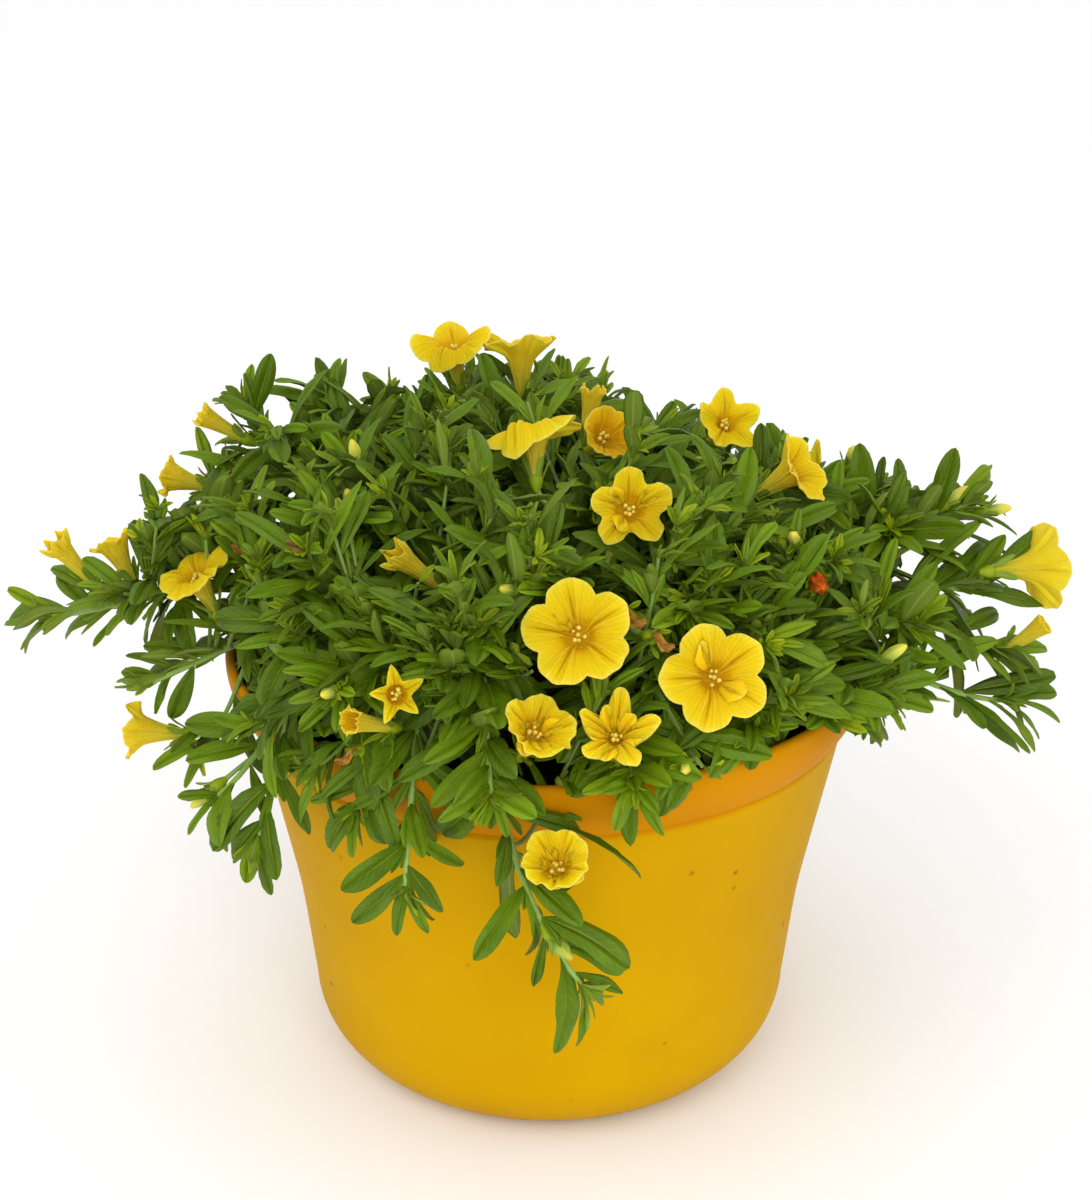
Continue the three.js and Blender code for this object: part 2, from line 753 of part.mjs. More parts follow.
// ---- assembly ----
// Blooms first, then the stems with their stalks, and the leaves last, turned clear of the rest.
const potSolid = pot();
const soilSolid = soil();
const fixed = [boxed(potSolid), boxed(soilSolid)];
const bloomSolids = BLOOMS.map((bloom) => boxed(corolla(bloom, 0)));

const sprays = SPRAYS.map((spray, index) => {
  const stem = shootCurve(spray, 0);
  const curves = spray.tips.map((tip, order) => (order === 0 ? stem : shootCurve(spray, order, stem)));
  return { spray, index, curves, pieces: [] };
});

for (const { spray, curves, pieces } of sprays) {
  pieces.push(boxed(tube(rooted(curves[0]), STEM_RADIUS, STEM_SIDES, 8)));
  for (const shoot of curves.slice(1)) pieces.push(boxed(tube(shoot, SHOOT_RADIUS, STEM_SIDES, 4)));
  for (const bloom of BLOOMS.filter(({ on }) => on[0] === spray.name)) {
    const [, order, along] = bloom.on;
    const axis = heading(...bloom.facing);
    const foot = bloomFoot(bloom).addScaledVector(axis, -GAP - 1);
    const stalk = pedicelCurve(curves[order].getPoint(along), curves[order].getTangent(along), foot, axis);
    pieces.push(boxed(tube(stalk, PEDICEL_RADIUS, STEM_SIDES, 3)));
    pieces.push(boxed(calyx(bloomFoot(bloom), axis)));
  }
  for (const { on, at, length } of BUDS.filter((bud) => bud.on[0] === spray.name)) {
    const from = curves[on[1]].getPoint(on[2]);
    const point = new THREE.Vector3(...at);
    const axis = point.clone().sub(from).normalize();
    const foot = point.clone().addScaledVector(axis, -0.7 * length);
    pieces.push(boxed(tube(new THREE.LineCurve3(from, foot), PEDICEL_RADIUS, STEM_SIDES, 1)));
    pieces.push(boxed(bud(point, axis, length)));
  }
}

const LEAF_TURNS = [0, 25, -25, 50, -50];
for (const { index, curves, pieces } of sprays) {
  const others = sprays.filter((other) => other.index !== index).flatMap((other) => other.pieces);
  const obstacles = [...fixed, ...bloomSolids, ...others];
  curves.forEach((curve, order) => {
    const count = order === 0 ? LEAVES_ON_STEM : LEAVES_ON_SHOOT;
    for (let rank = order; rank < count; rank += LEAF_STRIDE) {
      const keys = [index, order];
      const turn = LEAF_TURNS.find((angle) => {
        const stance = leafStance(curve, count, rank, keys, angle);
        return isClear(boxed(leaf(stance, GAP)), obstacles);
      });
      if (turn !== undefined) pieces.push(boxed(leaf(leafStance(curve, count, rank, keys, turn), 0)));
    }
  });
}

const part = new THREE.Group();
part.add(meshOf('pot', potSolid, finish(POT_COLOUR, 0.35)));
part.add(meshOf('soil', soilSolid, finish(SOIL_COLOUR, 0.95)));
for (const { spray, pieces } of sprays) {
  const fused = pieces.slice(1).reduce((sum, piece) => sum.add(piece.solid), pieces[0].solid);
  part.add(meshOf(spray.name, largestBody(fused), finish(LEAF_COLOUR, 0.55)));
}
BLOOMS.forEach((bloom, i) => part.add(meshOf(bloom.name, bloomSolids[i].solid, finish(PETAL_COLOUR, 0.5))));

export default part;
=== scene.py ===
import math

import bpy
import numpy as np
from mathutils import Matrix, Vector


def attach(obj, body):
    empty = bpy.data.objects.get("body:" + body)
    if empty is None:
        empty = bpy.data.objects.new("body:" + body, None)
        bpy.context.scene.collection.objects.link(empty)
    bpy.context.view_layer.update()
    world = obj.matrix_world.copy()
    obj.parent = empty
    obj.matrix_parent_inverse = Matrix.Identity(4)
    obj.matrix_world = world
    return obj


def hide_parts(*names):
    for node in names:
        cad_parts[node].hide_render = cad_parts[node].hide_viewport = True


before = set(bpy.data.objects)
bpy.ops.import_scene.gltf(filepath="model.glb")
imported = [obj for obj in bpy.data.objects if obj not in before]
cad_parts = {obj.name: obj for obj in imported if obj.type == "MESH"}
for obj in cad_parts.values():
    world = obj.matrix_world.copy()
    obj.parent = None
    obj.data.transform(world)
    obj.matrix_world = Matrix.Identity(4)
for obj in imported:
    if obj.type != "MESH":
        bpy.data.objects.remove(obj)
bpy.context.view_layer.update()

# ---- The pot ----
# One injection-moulded pot in thin yellow polypropylene, turned here from a single profile: flat base,
# rounded foot, tapered wall with a slight knee, a groove, and a collar that flares to a plain lip. Four drain
# holes are punched in its base. Sizes are in millimetres, and meshes and patterns in metres.
POT_HEIGHT, RIM_RADIUS, POT_WALL = 112.0, 80.0, 2.2
GROOVE_RADIUS, GROOVE_HEIGHT = 73.5, 95.0
FOOT_RADIUS, FOOT_CORNER, KNEE_HEIGHT = 60.5, 21.0, 49.0
DRAIN_HOLES, DRAIN_RADIUS, DRAIN_REACH = 4, 3.5, 26.0
MM = 0.001


def skin(rings, foot, tip):
    """Closed skins over rings of points, for any number of like shapes at once. rings is (shape, ring, side,
    6): x, y, z and three marks that a material reads, with the sides counter-clockwise as the rings go from
    foot to tip. Quads join each ring to the next, and a fan closes each end at its pole. Gives points, quads,
    triangles."""
    shapes, count, sides, depth = rings.shape
    points = np.concatenate([rings.reshape(shapes, -1, depth), foot[:, None], tip[:, None]], axis=1)
    side = np.arange(sides)
    after = (side + 1) % sides
    row = np.arange(count - 1)[:, None] * sides
    quads = np.stack([row + side, row + after, row + sides + after, row + sides + side], -1).reshape(-1, 4)
    last = (count - 1) * sides
    low = np.stack([after, side, np.full(sides, count * sides)], -1)
    high = np.stack([last + side, last + after, np.full(sides, count * sides + 1)], -1)
    start = np.arange(shapes)[:, None, None] * points.shape[1]
    fans = np.concatenate([low, high]) + start
    return points.reshape(-1, depth), (quads + start).reshape(-1, 4), fans.reshape(-1, 3)


def unmarked(place):
    """Points with their three marks at zero."""
    return np.concatenate([place, np.zeros_like(place)], -1)


def piece(name, slot, cad_node, *skins):
    """One object, in metres, from skins in millimetres, each given as (material, skin). It rides on the
    part's one body and stands for a CAD node. Edges sharper than 50 degrees stay sharp."""
    points, loops, sizes, finishes, materials, first = [], [], [], [], [], 0
    for material, (place, quads, triangles) in skins:
        if material not in materials:
            materials.append(material)
        for faces in (quads, triangles):
            loops.append((faces + first).ravel())
            sizes.append(np.full(len(faces), faces.shape[1]))
            finishes.append(np.full(len(faces), materials.index(material)))
        points.append(place)
        first += len(place)
    points, loops, sizes = np.concatenate(points), np.concatenate(loops), np.concatenate(sizes)
    mesh = bpy.data.meshes.new(name)
    mesh.vertices.add(len(points))
    mesh.vertices.foreach_set("co", (points[:, :3] * MM).astype(np.float32).ravel())
    mesh.loops.add(len(loops))
    mesh.loops.foreach_set("vertex_index", loops.astype(np.int32))
    mesh.polygons.add(len(sizes))
    mesh.polygons.foreach_set("loop_start", (np.cumsum(sizes) - sizes).astype(np.int32))
    for material in materials:
        mesh.materials.append(material)
    mesh.polygons.foreach_set("material_index", np.concatenate(finishes).astype(np.int32))
    marks = mesh.attributes.new("marks", "FLOAT_VECTOR", "POINT")
    marks.data.foreach_set("vector", points[:, 3:].astype(np.float32).ravel())
    mesh.update(calc_edges=True)
    mesh.validate()
    mesh.shade_smooth()
    mesh.set_sharp_from_angle(angle=math.radians(50))
    made = bpy.data.objects.new(name, mesh)
    bpy.context.scene.collection.objects.link(made)
    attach(made, "root")
    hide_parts(cad_node)
    return made


def turned(outline, sides):
    """A profile carried round Z: ring i is (r cos a, r sin a, z) for `sides` angles a. The profile's first
    and last points lie on the axis and become the poles."""
    angle = 2 * np.pi * np.arange(sides) / sides
    r, z = outline[1:-1, 0, None], outline[1:-1, 1, None]
    place = np.stack([r * np.cos(angle), r * np.sin(angle), z + 0 * angle], -1)
    return skin(unmarked(place)[None], *(unmarked(np.array([[0, 0, outline[i, 1]]])) for i in (0, -1)))


def outer_radius(z):
    """The wall's outer radius: two tapers blended at the knee by a soft ramp, and above the groove the
    collar, which flares as a quarter sine."""
    wall = FOOT_RADIUS + 0.118 * (z - FOOT_CORNER) + 0.093 * 3 * np.log1p(np.exp((z - KNEE_HEIGHT) / 3))
    rise = np.clip((z - GROOVE_HEIGHT) / (POT_HEIGHT - 2 - GROOVE_HEIGHT), 0, 1)
    collar = GROOVE_RADIUS + (RIM_RADIUS - GROOVE_RADIUS) * np.sin(rise * np.pi / 2)
    return np.where(z < GROOVE_HEIGHT, wall, collar)


def pot_outline():
    """The profile from the middle of the base, out and up the outside, over the lip, and down the inside to
    the floor: quarter circles at the foot, a half ellipse at the lip and a bell-shaped groove."""
    turn = np.linspace(-np.pi / 2, 0, 14)
    middle = FOOT_RADIUS - FOOT_CORNER
    foot = np.stack([middle + FOOT_CORNER * np.cos(turn), FOOT_CORNER + FOOT_CORNER * np.sin(turn)], -1)
    spans = (24, 93.6, 26), (94.1, 97.5, 9), (98.5, 109.8, 12)
    height = np.concatenate([np.linspace(*span) for span in spans])
    groove = 0.9 * np.exp(-(((height - GROOVE_HEIGHT - 0.6) / 0.75) ** 2))
    wall = np.stack([outer_radius(height) - groove, height], -1)
    over = np.linspace(0.15, np.pi - 0.1, 9)
    lip = np.stack([RIM_RADIUS - 1.3 + 1.3 * np.cos(over), POT_HEIGHT - 1.5 + 1.5 * np.sin(over)], -1)
    down = np.linspace(108.5, 26, 24)
    inside = np.stack([outer_radius(down) - POT_WALL - 0.5 * (down > 97), down], -1)
    turn = np.linspace(0, -np.pi / 2, 10)
    floor = FOOT_CORNER - POT_WALL
    corner = np.stack([middle + floor * np.cos(turn), FOOT_CORNER + floor * np.sin(turn)], -1)
    base = np.array([[0, 0], [12, 0], [26, 0]])
    inner_base = np.array([[20, POT_WALL], [0, POT_WALL]])
    return np.concatenate([base, foot, wall, lip, inside, corner, inner_base])


def tint(red, green, blue):
    """A display colour, 0 to 255, as the linear colour that a shader takes."""
    share = np.array([red, green, blue]) / 255
    linear = np.where(share <= 0.04045, share / 12.92, ((share + 0.055) / 1.055) ** 2.4)
    return (*(float(v) for v in linear), 1.0)


def node(tree, kind, inputs=(), **settings):
    """A node with its settings, and with each input linked to a socket or set to a value. Gives its first
    output."""
    made = tree.nodes.new(kind)
    for name, value in settings.items():
        setattr(made, name, value)
    for key, value in dict(inputs).items():
        if isinstance(value, bpy.types.NodeSocket):
            tree.links.new(value, made.inputs[key])
        else:
            made.inputs[key].default_value = value
    return made.outputs[0]


def finish(name, **sockets):
    """A material with one Principled shader, its constants set on the shader's own sockets. Gives the
    material, its shader and the place on the object, which patterns read."""
    material = bpy.data.materials.new(name)
    material.use_nodes = True
    shader = material.node_tree.nodes["Principled BSDF"]
    for socket, value in sockets.items():
        shader.inputs[socket.replace("_", " ")].default_value = value
    return material, shader, node(material.node_tree, "ShaderNodeTexCoord").node.outputs["Object"]


def coat(shader, colour, height, strength, depth, roughness=None):
    """A shader's colour, its small relief, of a depth in metres, and its roughness where that varies."""
    tree = shader.id_data
    tree.links.new(colour, shader.inputs["Base Color"])
    relief = node(tree, "ShaderNodeBump", {"Height": height, "Strength": strength, "Distance": depth})
    tree.links.new(relief, shader.inputs["Normal"])
    if roughness is not None:
        tree.links.new(roughness, shader.inputs["Roughness"])


def ramp(value, *stops, smooth=True):
    """Colours by a value: each stop is (position, colour), in order."""
    colour = node(value.id_data, "ShaderNodeValToRGB", {0: value})
    band = colour.node.color_ramp
    band.interpolation = "EASE" if smooth else "LINEAR"
    while len(band.elements) < len(stops):
        band.elements.new(0.5)
    for element, (position, shade) in zip(band.elements, stops):
        element.position, element.color = position, shade
    return colour


def tree_of(*values):
    """The tree of the first socket among some values."""
    return next(value.id_data for value in values if isinstance(value, bpy.types.NodeSocket))


def mixed(share, first, second):
    """Two colours mixed by a share from 0 to 1."""
    inputs = {0: share, 6: first, 7: second}
    return node(tree_of(share, first, second), "ShaderNodeMix", inputs, data_type="RGBA").node.outputs[2]


def ranged(value, low, high, out_low=0.0, out_high=1.0):
    """A value carried smoothly from one range to another and held at the ends."""
    inputs = {0: value, 1: low, 2: high, 3: out_low, 4: out_high}
    return node(value.id_data, "ShaderNodeMapRange", inputs, interpolation_type="SMOOTHSTEP")


def noise(where, scale, detail=2.0, roughness=0.5):
    """Soft noise at a number of cycles to the metre."""
    inputs = {"Vector": where, "Scale": scale, "Detail": detail, "Roughness": roughness}
    return node(where.id_data, "ShaderNodeTexNoise", inputs)


def calc(operation, *values):
    """A sum worked out by one Math node."""
    return node(tree_of(*values), "ShaderNodeMath", dict(enumerate(values)), operation=operation)


def parts(vector):
    """The three parts of a vector."""
    return node(vector.id_data, "ShaderNodeSeparateXYZ", {0: vector}).node.outputs


def pot_plastic():
    """Mustard wall and a more orange collar above the groove, with painted shade along the groove's crease,
    faint cloudy streaks, fine orange peel and a few small brown specks."""
    material, shader, where = finish("pot_plastic", Specular_IOR_Level=0.025)
    height = parts(where)[2]
    cloud = noise(where, 22, 3)
    wall = ramp(cloud, (0.3, tint(190, 143, 0)), (0.5, tint(195, 148, 0)), (0.72, tint(200, 154, 0)))
    collar = ramp(cloud, (0.3, tint(192, 125, 0)), (0.55, tint(198, 132, 0)), (0.75, tint(203, 140, 1)))
    wavy = calc("MULTIPLY_ADD", noise(where, 9), 0.0012, height)
    colour = mixed(ranged(wavy, 0.0945, 0.0968), wall, collar)
    # Painted shade: a darker orange line along the crease of the groove.
    groove_shade = calc("ABSOLUTE", calc("SUBTRACT", height, 0.0956))
    colour = mixed(ranged(groove_shade, 0.0002, 0.0011, 0.45, 0), colour, tint(196, 120, 4))
    # Small brown specks scattered over the pot by Voronoi cells.
    cells = node(where.id_data, "ShaderNodeTexVoronoi", {"Vector": where, "Scale": 84}).node.outputs
    chance, size, _ = parts(cells[1])
    dot = ranged(cells[0], 0.02, calc("MULTIPLY_ADD", size, 0.07, 0.05), 1, 0)
    speck = calc("MULTIPLY", calc("MULTIPLY", dot, ranged(chance, 0.3, 0.31)), 0.8)
    colour = mixed(speck, colour, tint(120, 84, 18))
    peel = calc("ADD", noise(where, 700, 2), calc("MULTIPLY", cloud, 0.8))
    coat(shader, colour, peel, 0.25, 0.00012, ranged(noise(where, 180, 4, 0.65), 0.35, 0.75, 0.48, 0.64))
    return material


pot = piece("pot_moulding", "pot", "pot", (pot_plastic(), turned(pot_outline(), 144)))
for hole in range(DRAIN_HOLES):
    bpy.ops.mesh.primitive_cylinder_add(vertices=24, radius=DRAIN_RADIUS * MM, depth=0.012)
    punch = bpy.context.object
    turn = math.radians(45 + 360 / DRAIN_HOLES * hole)
    punch.location = (DRAIN_REACH * MM * math.cos(turn), DRAIN_REACH * MM * math.sin(turn), 0)
    cut = pot.modifiers.new("drain", "BOOLEAN")
    cut.object, cut.operation, cut.solver = punch, "DIFFERENCE", "EXACT"
    bpy.context.view_layer.objects.active = pot
    bpy.ops.object.modifier_apply(modifier="drain")
    bpy.data.objects.remove(punch)

# ---- The compost ----
# Dark peat compost that fills the pot to a little below the lip and mounds towards the middle. Its top is
# loose crumb, with a few paler fibres, so the surface is a disc raised by sums of noise, and larger crumbs
# lie on it.
SOIL_HEIGHT, SOIL_CROWN, SOIL_FLOOR = 98.0, 5.0, 2.6
CLODS = 420
SEED = 20411
rng = np.random.default_rng(SEED)


def soil_top(reach):
    """The height of the compost at a distance from the axis: a low parabola."""
    return SOIL_HEIGHT + SOIL_CROWN * (1 - (reach / GROOVE_RADIUS) ** 2)


def crumb(x, y, octaves=4):
    """Uneven ground from -1 to 1: each octave is the sum of two turned sines, twice as fine and half as
    high."""
    height, size, weight = 0, 0.19, 1.0
    for turn in range(octaves):
        a, b = math.cos(1.7 * turn), math.sin(1.7 * turn)
        height = height + weight * np.sin(size * (a * x + b * y) + 2.1 * turn + np.sin(size * 0.6 * (x - y)))
        height = height + weight * 0.6 * np.sin(size * 1.3 * (a * y - b * x) + 0.7)
        size, weight = size * 2.1, weight * 0.55
    return height / 3


def compost_body():
    """The mound as one turned skin: the buried side and floor are plain, and the top's rings are lifted by
    the crumb."""
    sides, reaches = 120, np.linspace(70.2, 1.5, 42)
    angle = 2 * np.pi * np.arange(sides) / sides
    r = np.concatenate([[38, 56, 60, 69.6], reaches])
    z = np.concatenate([[SOIL_FLOOR, 20, 46, 92], soil_top(reaches)])
    x, y = r[:, None] * np.cos(angle), r[:, None] * np.sin(angle)
    lift = np.where(np.arange(len(r))[:, None] >= 4, 1.1 * crumb(x, y), 0)
    rings = unmarked(np.stack([x, y, z[:, None] + lift], -1))[None]
    return skin(rings, *(unmarked(np.array([[0, 0, height]])) for height in (SOIL_FLOOR, soil_top(0) + 0.3)))


def clods(count):
    """Loose crumbs on the mound: balls of 4 rings by 6 sides, squashed and made uneven by a draw for each
    point."""
    turn, rise = 2 * np.pi * np.arange(6) / 6, np.linspace(-1.1, 1.1, 4)[:, None]
    ball = np.stack([np.cos(rise) * np.cos(turn), np.cos(rise) * np.sin(turn), np.sin(rise) + 0 * turn], -1)
    reach, azimuth = 68 * np.sqrt(rng.random(count)), 2 * np.pi * rng.random(count)
    size = 0.7 + 1.6 * rng.random(count) ** 2
    middle = np.stack([reach * np.cos(azimuth), reach * np.sin(azimuth), soil_top(reach) + 0.4 * size], -1)
    shape = ball * size[:, None, None, None] * (0.75 + 0.5 * rng.random((count, 4, 6, 1))) * (1, 1, 0.75)
    poles = (unmarked(middle + np.outer(size, (0, 0, 0.75 * way))) for way in (-1, 1))
    return skin(unmarked(middle[:, None, None] + shape), *poles)


def peat():
    """Nearly black brown, with redder crumbs and pale fibres, fully matt and rough."""
    material, shader, where = finish("peat", Roughness=0.95, Specular_IOR_Level=0.2)
    coarse, fine = noise(where, 260, 4, 0.7), noise(where, 1500, 3, 0.7)
    colour = ramp(coarse, (0.3, tint(18, 13, 9)), (0.55, tint(44, 32, 22)), (0.75, tint(78, 57, 37)))
    colour = mixed(ranged(fine, 0.62, 0.72, 0, 0.6), colour, tint(122, 96, 66))
    coat(shader, colour, calc("ADD", coarse, calc("MULTIPLY", fine, 0.5)), 0.9, 0.0012)
    return material


ground = peat()
piece("compost", "compost", "soil", (ground, compost_body()), (ground, clods(CLODS)))

# ---- Stems, leaves, stalks and buds ----
# Soft green stems rooted in the compost, each with side shoots. Leaves stand round every shoot by the golden
# angle, with tufts of small ones in their axils; thin stalks leave the shoots and end in a green calyx of
# five sepals.
SPRAYS = {  # root: azimuth, reach. tips: azimuth, reach, height, pitch, rise and, for one, swing
    "spray_front_trailing": ((-106, 52), ((-86, 97, 72, -50, 78, 50), (-98, 91, 116, -20, 26))),
    "spray_front_right": (
        (-70, 50),
        ((-78, 87, 116, -12, 42), (-66, 88, 115, -18, 24), (-81, 70, 117, 25, 16)),
    ),
    "spray_front_left": (
        (-121, 51),
        ((-110, 94, 92, -60, 66), (-119, 88, 106, -35, 26), (-127, 86, 112, -20, 18)),
    ),
    "spray_left_front": ((-128, 50), ((-123, 86, 132, 15, 36), (-137, 90, 118, -5, 22))),
    "spray_left_low": ((-142, 54), ((-143, 96, 98, -24, 70), (-135, 94, 92.5, -54, 36))),
    "spray_left_mid": ((-163, 50), ((-166, 104, 109, -15, 38), (-155, 90, 102, -15, 16))),
    "spray_far_left": (
        (179, 50),
        ((-178, 122, 119, -5, 42), (180, 95, 139, 35, 22), (-172, 104, 130, 30, 12)),
    ),
    "spray_left_back": ((162, 48), ((161, 80, 162, 50, 40), (171, 84, 147, 30, 22))),
    "spray_back_left": ((143, 46), ((144, 72, 160, 56, 40), (150, 98, 127, 8, 20))),
    "spray_back_a": ((121, 48), ((128, 65, 156, 50, 38), (117, 100, 128, 8, 22))),
    "spray_back_b": ((98, 50), ((99, 102, 122, 0, 44), (92, 72, 152, 45, 24))),
    "spray_back_c": ((75, 48), ((73, 101, 118, -8, 44), (80, 78, 148, 40, 24))),
    "spray_back_d": ((53, 50), ((50, 105, 124, 5, 42), (60, 74, 141, 40, 22))),
    "spray_back_right": ((30, 48), ((20, 79, 136, 62, 36), (34, 101, 128, 10, 22))),
    "spray_right_back": ((12, 50), ((7, 104, 142, 38, 36), (15, 84, 138, 70, 20))),
    "spray_far_right": ((-4, 50), ((0, 110, 126, 12, 36), (-6, 111, 113, 5, 14))),
    "spray_right_low": ((-20, 50), ((-11, 111, 104.5, 0, 38), (-18, 91, 128, 25, 20))),
    "spray_right_front": ((-38, 50), ((-33, 91, 119, 5, 34), (-43, 86, 119, 0, 18), (-24, 88, 111, -10, 14))),
    "spray_front_corner": ((-55, 50), ((-52, 86, 128, 18, 36), (-57, 83, 121, 5, 16))),
    "spray_inner_front": ((-88, 27), ((-89, 62, 152, 35, 40), (-106, 78, 138, 20, 26))),
    "spray_inner_front_left": ((-132, 27), ((-118, 70, 145, 30, 40), (-137, 77, 143, 25, 24))),
    "spray_inner_left": (
        (-172, 26),
        ((-150, 60, 154, 40, 42), (-166, 48, 160, 60, 22), (-165, 76, 141, 25, 14)),
    ),
    "spray_inner_back_left": ((135, 24), ((124, 48, 160, 65, 42), (112, 30, 158, 66, 18))),
    "spray_inner_back": ((80, 26), ((84, 46, 159, 66, 42), (45, 37, 151, 55, 20))),
    "spray_inner_right": ((10, 26), ((14, 58, 150, 45, 42), (-28, 74, 147, 30, 26))),
    "spray_inner_front_right": (
        (-48, 28),
        ((-64, 70, 147, 28, 42), (-33, 55, 157, 45, 22), (-54, 80, 140, 15, 12)),
    ),
    "spray_crown": (
        (-20, 6),
        ((-68, 33, 160, 55, 44), (-135, 34, 162, 62, 22), (-42, 40, 160, 55, 18), (128, 27, 160, 60, 20)),
    ),
}
BLOOMS = {  # spray, shoot and share along it; the mouth's place; its azimuth and elevation; form; radius
    "bloom_front": (("spray_inner_front", 0, 0.9), (6, -76, 148), (-94, 36), "open", 12.6),
    "bloom_front_right": (("spray_front_corner", 0, 0.8), (36, -79, 139), (-82, 30), "open", 12.2),
    "bloom_upper": (("spray_crown", 0, 0.85), (18, -42, 163.4), (-86, 36), "open", 9.6),
    "bloom_small_star": (("spray_inner_front", 1, 0.8), (-33, -82, 136), (-76, 22), "star", 6.8),
    "bloom_cup": (("spray_front_trailing", 1, 0.7), (-2, -88, 132), (-60, 52), "cup", 9.5),
    "bloom_star": (("spray_front_right", 0, 0.75), (14, -89, 131), (-95, 55), "star", 10.5),
    "bloom_trailing": (("spray_front_trailing", 0, 0.82), (1, -97, 104), (-100, 56), "cup", 9),
    "bloom_top_side": (("spray_crown", 0, 0.7), (-4, -16, 172), (96, 50), "open", 11.5),
    "bloom_top_orange": (("spray_inner_back", 1, 0.75), (14.5, -6, 168), (-60, 40), "cup", 8.2),
    "bloom_top_wilted": (("spray_inner_back", 1, 0.97), (11, 22, 171), (60, 72), "trumpet", 6.5),
    "bloom_back_left": (("spray_inner_back_left", 0, 0.9), (-24.5, 50, 171), (180, 84), "open", 10.2),
    "bloom_back_upright": (("spray_inner_back", 0, 0.85), (-7.5, 50, 172), (95, 76), "cup", 11),
    "bloom_right_star": (("spray_inner_right", 0, 0.85), (44, 18, 162), (-66, 46), "star", 8.9),
    "bloom_right_funnel": (("spray_inner_right", 0, 0.7), (61.5, -4, 159.5), (-8, 38), "cup", 10.5),
    "bloom_far_right": (("spray_far_right", 0, 0.93), (120.8, 2, 129.7), (20, -3), "bell", 11.5),
    "bloom_left_side": (("spray_left_mid", 0, 0.7), (-84.5, -20, 137.5), (-170, 66), "open", 9.4),
    "bloom_left_trumpet": (("spray_far_left", 0, 0.78), (-122.5, -2, 140.5), (178, 50), "trumpet", 8.8),
    "bloom_left_small": (("spray_far_left", 1, 0.8), (-108, 6, 135), (150, 60), "cup", 6.4),
    "bloom_left_pale": (("spray_left_back", 1, 0.85), (-96, 18, 147.5), (176, 14), "cup", 7),
    "bloom_left_bud": (("spray_left_back", 0, 0.8), (-88, 24, 162), (178, 30), "trumpet", 5.5),
    "bloom_left_low": (("spray_left_mid", 1, 0.8), (-101, -26, 99), (178, 4), "cup", 8.2),
    "bloom_left_narrow": (("spray_inner_front_left", 0, 0.8), (-38, -50, 158), (-171, 40), "trumpet", 9.6),
    "bloom_left_folded": (("spray_left_front", 0, 0.7), (-45, -84, 131), (-140, 25), "trumpet", 5.5),
    "bloom_right_bud": (("spray_far_right", 1, 0.85), (122, -10, 121), (-4, 40), "trumpet", 5),
    "bloom_back_far_left": (("spray_back_left", 1, 0.75), (-78, 66, 128), (140, 30), "open", 12.4),
    "bloom_back_mid_left": (("spray_back_a", 1, 0.75), (-28, 97, 124), (104, 24), "open", 12.8),
    "bloom_back_middle": (("spray_back_b", 0, 0.7), (4, 100, 131), (86, 44), "cup", 11),
    "bloom_back_mid_right": (("spray_back_c", 0, 0.75), (38, 96, 118), (68, 22), "open", 12.6),
    "bloom_back_far_right": (("spray_back_d", 0, 0.75), (74, 68, 129), (44, 40), "star", 10.8),
}
BUDS = (  # spray, shoot and share along it; the point's place; length; kind
    (("spray_inner_left", 1, 0.8), (-47, -8, 167), 8, "fresh"),
    (("spray_inner_left", 0, 0.8), (-47, -27, 162), 7, "fresh"),
    (("spray_right_back", 0, 0.8), (104, 14, 146), 8, "fresh"),
    (("spray_right_back", 0, 0.9), (114, 10, 142), 7, "fresh"),
    (("spray_front_right", 1, 0.85), (29, -89, 121), 6, "fresh"),
    (("spray_front_trailing", 0, 0.9), (5, -95, 77), 8, "fresh"),
    (("spray_left_low", 0, 0.85), (-83, -58, 95), 8, "fresh"),
    (("spray_right_front", 0, 0.8), (82, -46, 131), 8, "fresh"),
    (("spray_inner_front", 0, 0.8), (-11, -68, 155), 6, "fresh"),
    (("spray_left_front", 0, 0.9), (-50, -78, 134), 6, "fresh"),
    (("spray_inner_right", 1, 0.8), (55, -42, 157), 7, "fresh"),
    (("spray_back_right", 0, 0.9), (76, 24, 153), 6, "fresh"),
    (("spray_inner_front", 0, 0.85), (21, -77, 151), 9, "dried"),
    (("spray_inner_front", 0, 0.75), (27, -79, 146), 8, "dried"),
    (("spray_inner_left", 2, 0.8), (-75, -23, 146), 8, "dried"),
    (("spray_front_left", 1, 0.75), (-48, -75, 116), 7, "dried"),
    (("spray_inner_right", 1, 0.7), (62, -48, 146), 7, "faded"),
)
LONE_LEAVES = (  # long leaves that stand out of the rest, and where they end
    (("spray_right_back", 0, 0.62), (79, 10, 158)),
    (("spray_right_back", 0, 0.74), (87, 10, 153.5)),
    (("spray_right_back", 0, 0.86), (99.5, 10, 156.5)),
    (("spray_far_right", 0, 0.85), (122, -3, 123.4)),
    (("spray_far_right", 0, 0.97), (121, 6, 141.5)),
    (("spray_right_low", 0, 0.86), (122.5, -21, 111)),
    (("spray_right_low", 0, 0.8), (118, -21, 92)),
    (("spray_left_back", 0, 0.96), (-68.4, 25, 176)),
    (("spray_back_left", 0, 0.85), (-57, 42, 170.5)),
    (("spray_back_left", 0, 0.75), (-67.5, 42, 164)),
    (("spray_left_mid", 0, 0.78), (-91, -27, 101)),
    (("spray_right_front", 2, 0.6), (85, -30, 100)),
)
FORMS = {  # tube length, throat radius, spread in degrees, depth of the notches, how pointed the lobes are
    "open": (10, 3.3, 76, 0.24, 0.0),
    "cup": (10, 3.2, 46, 0.2, 0.3),
    "bell": (10, 3.2, 60, 0.14, 0.0),
    "star": (10, 2.4, 68, 0.7, 1.0),
    "trumpet": (11, 2.3, 12, 0.45, 1.0),
}
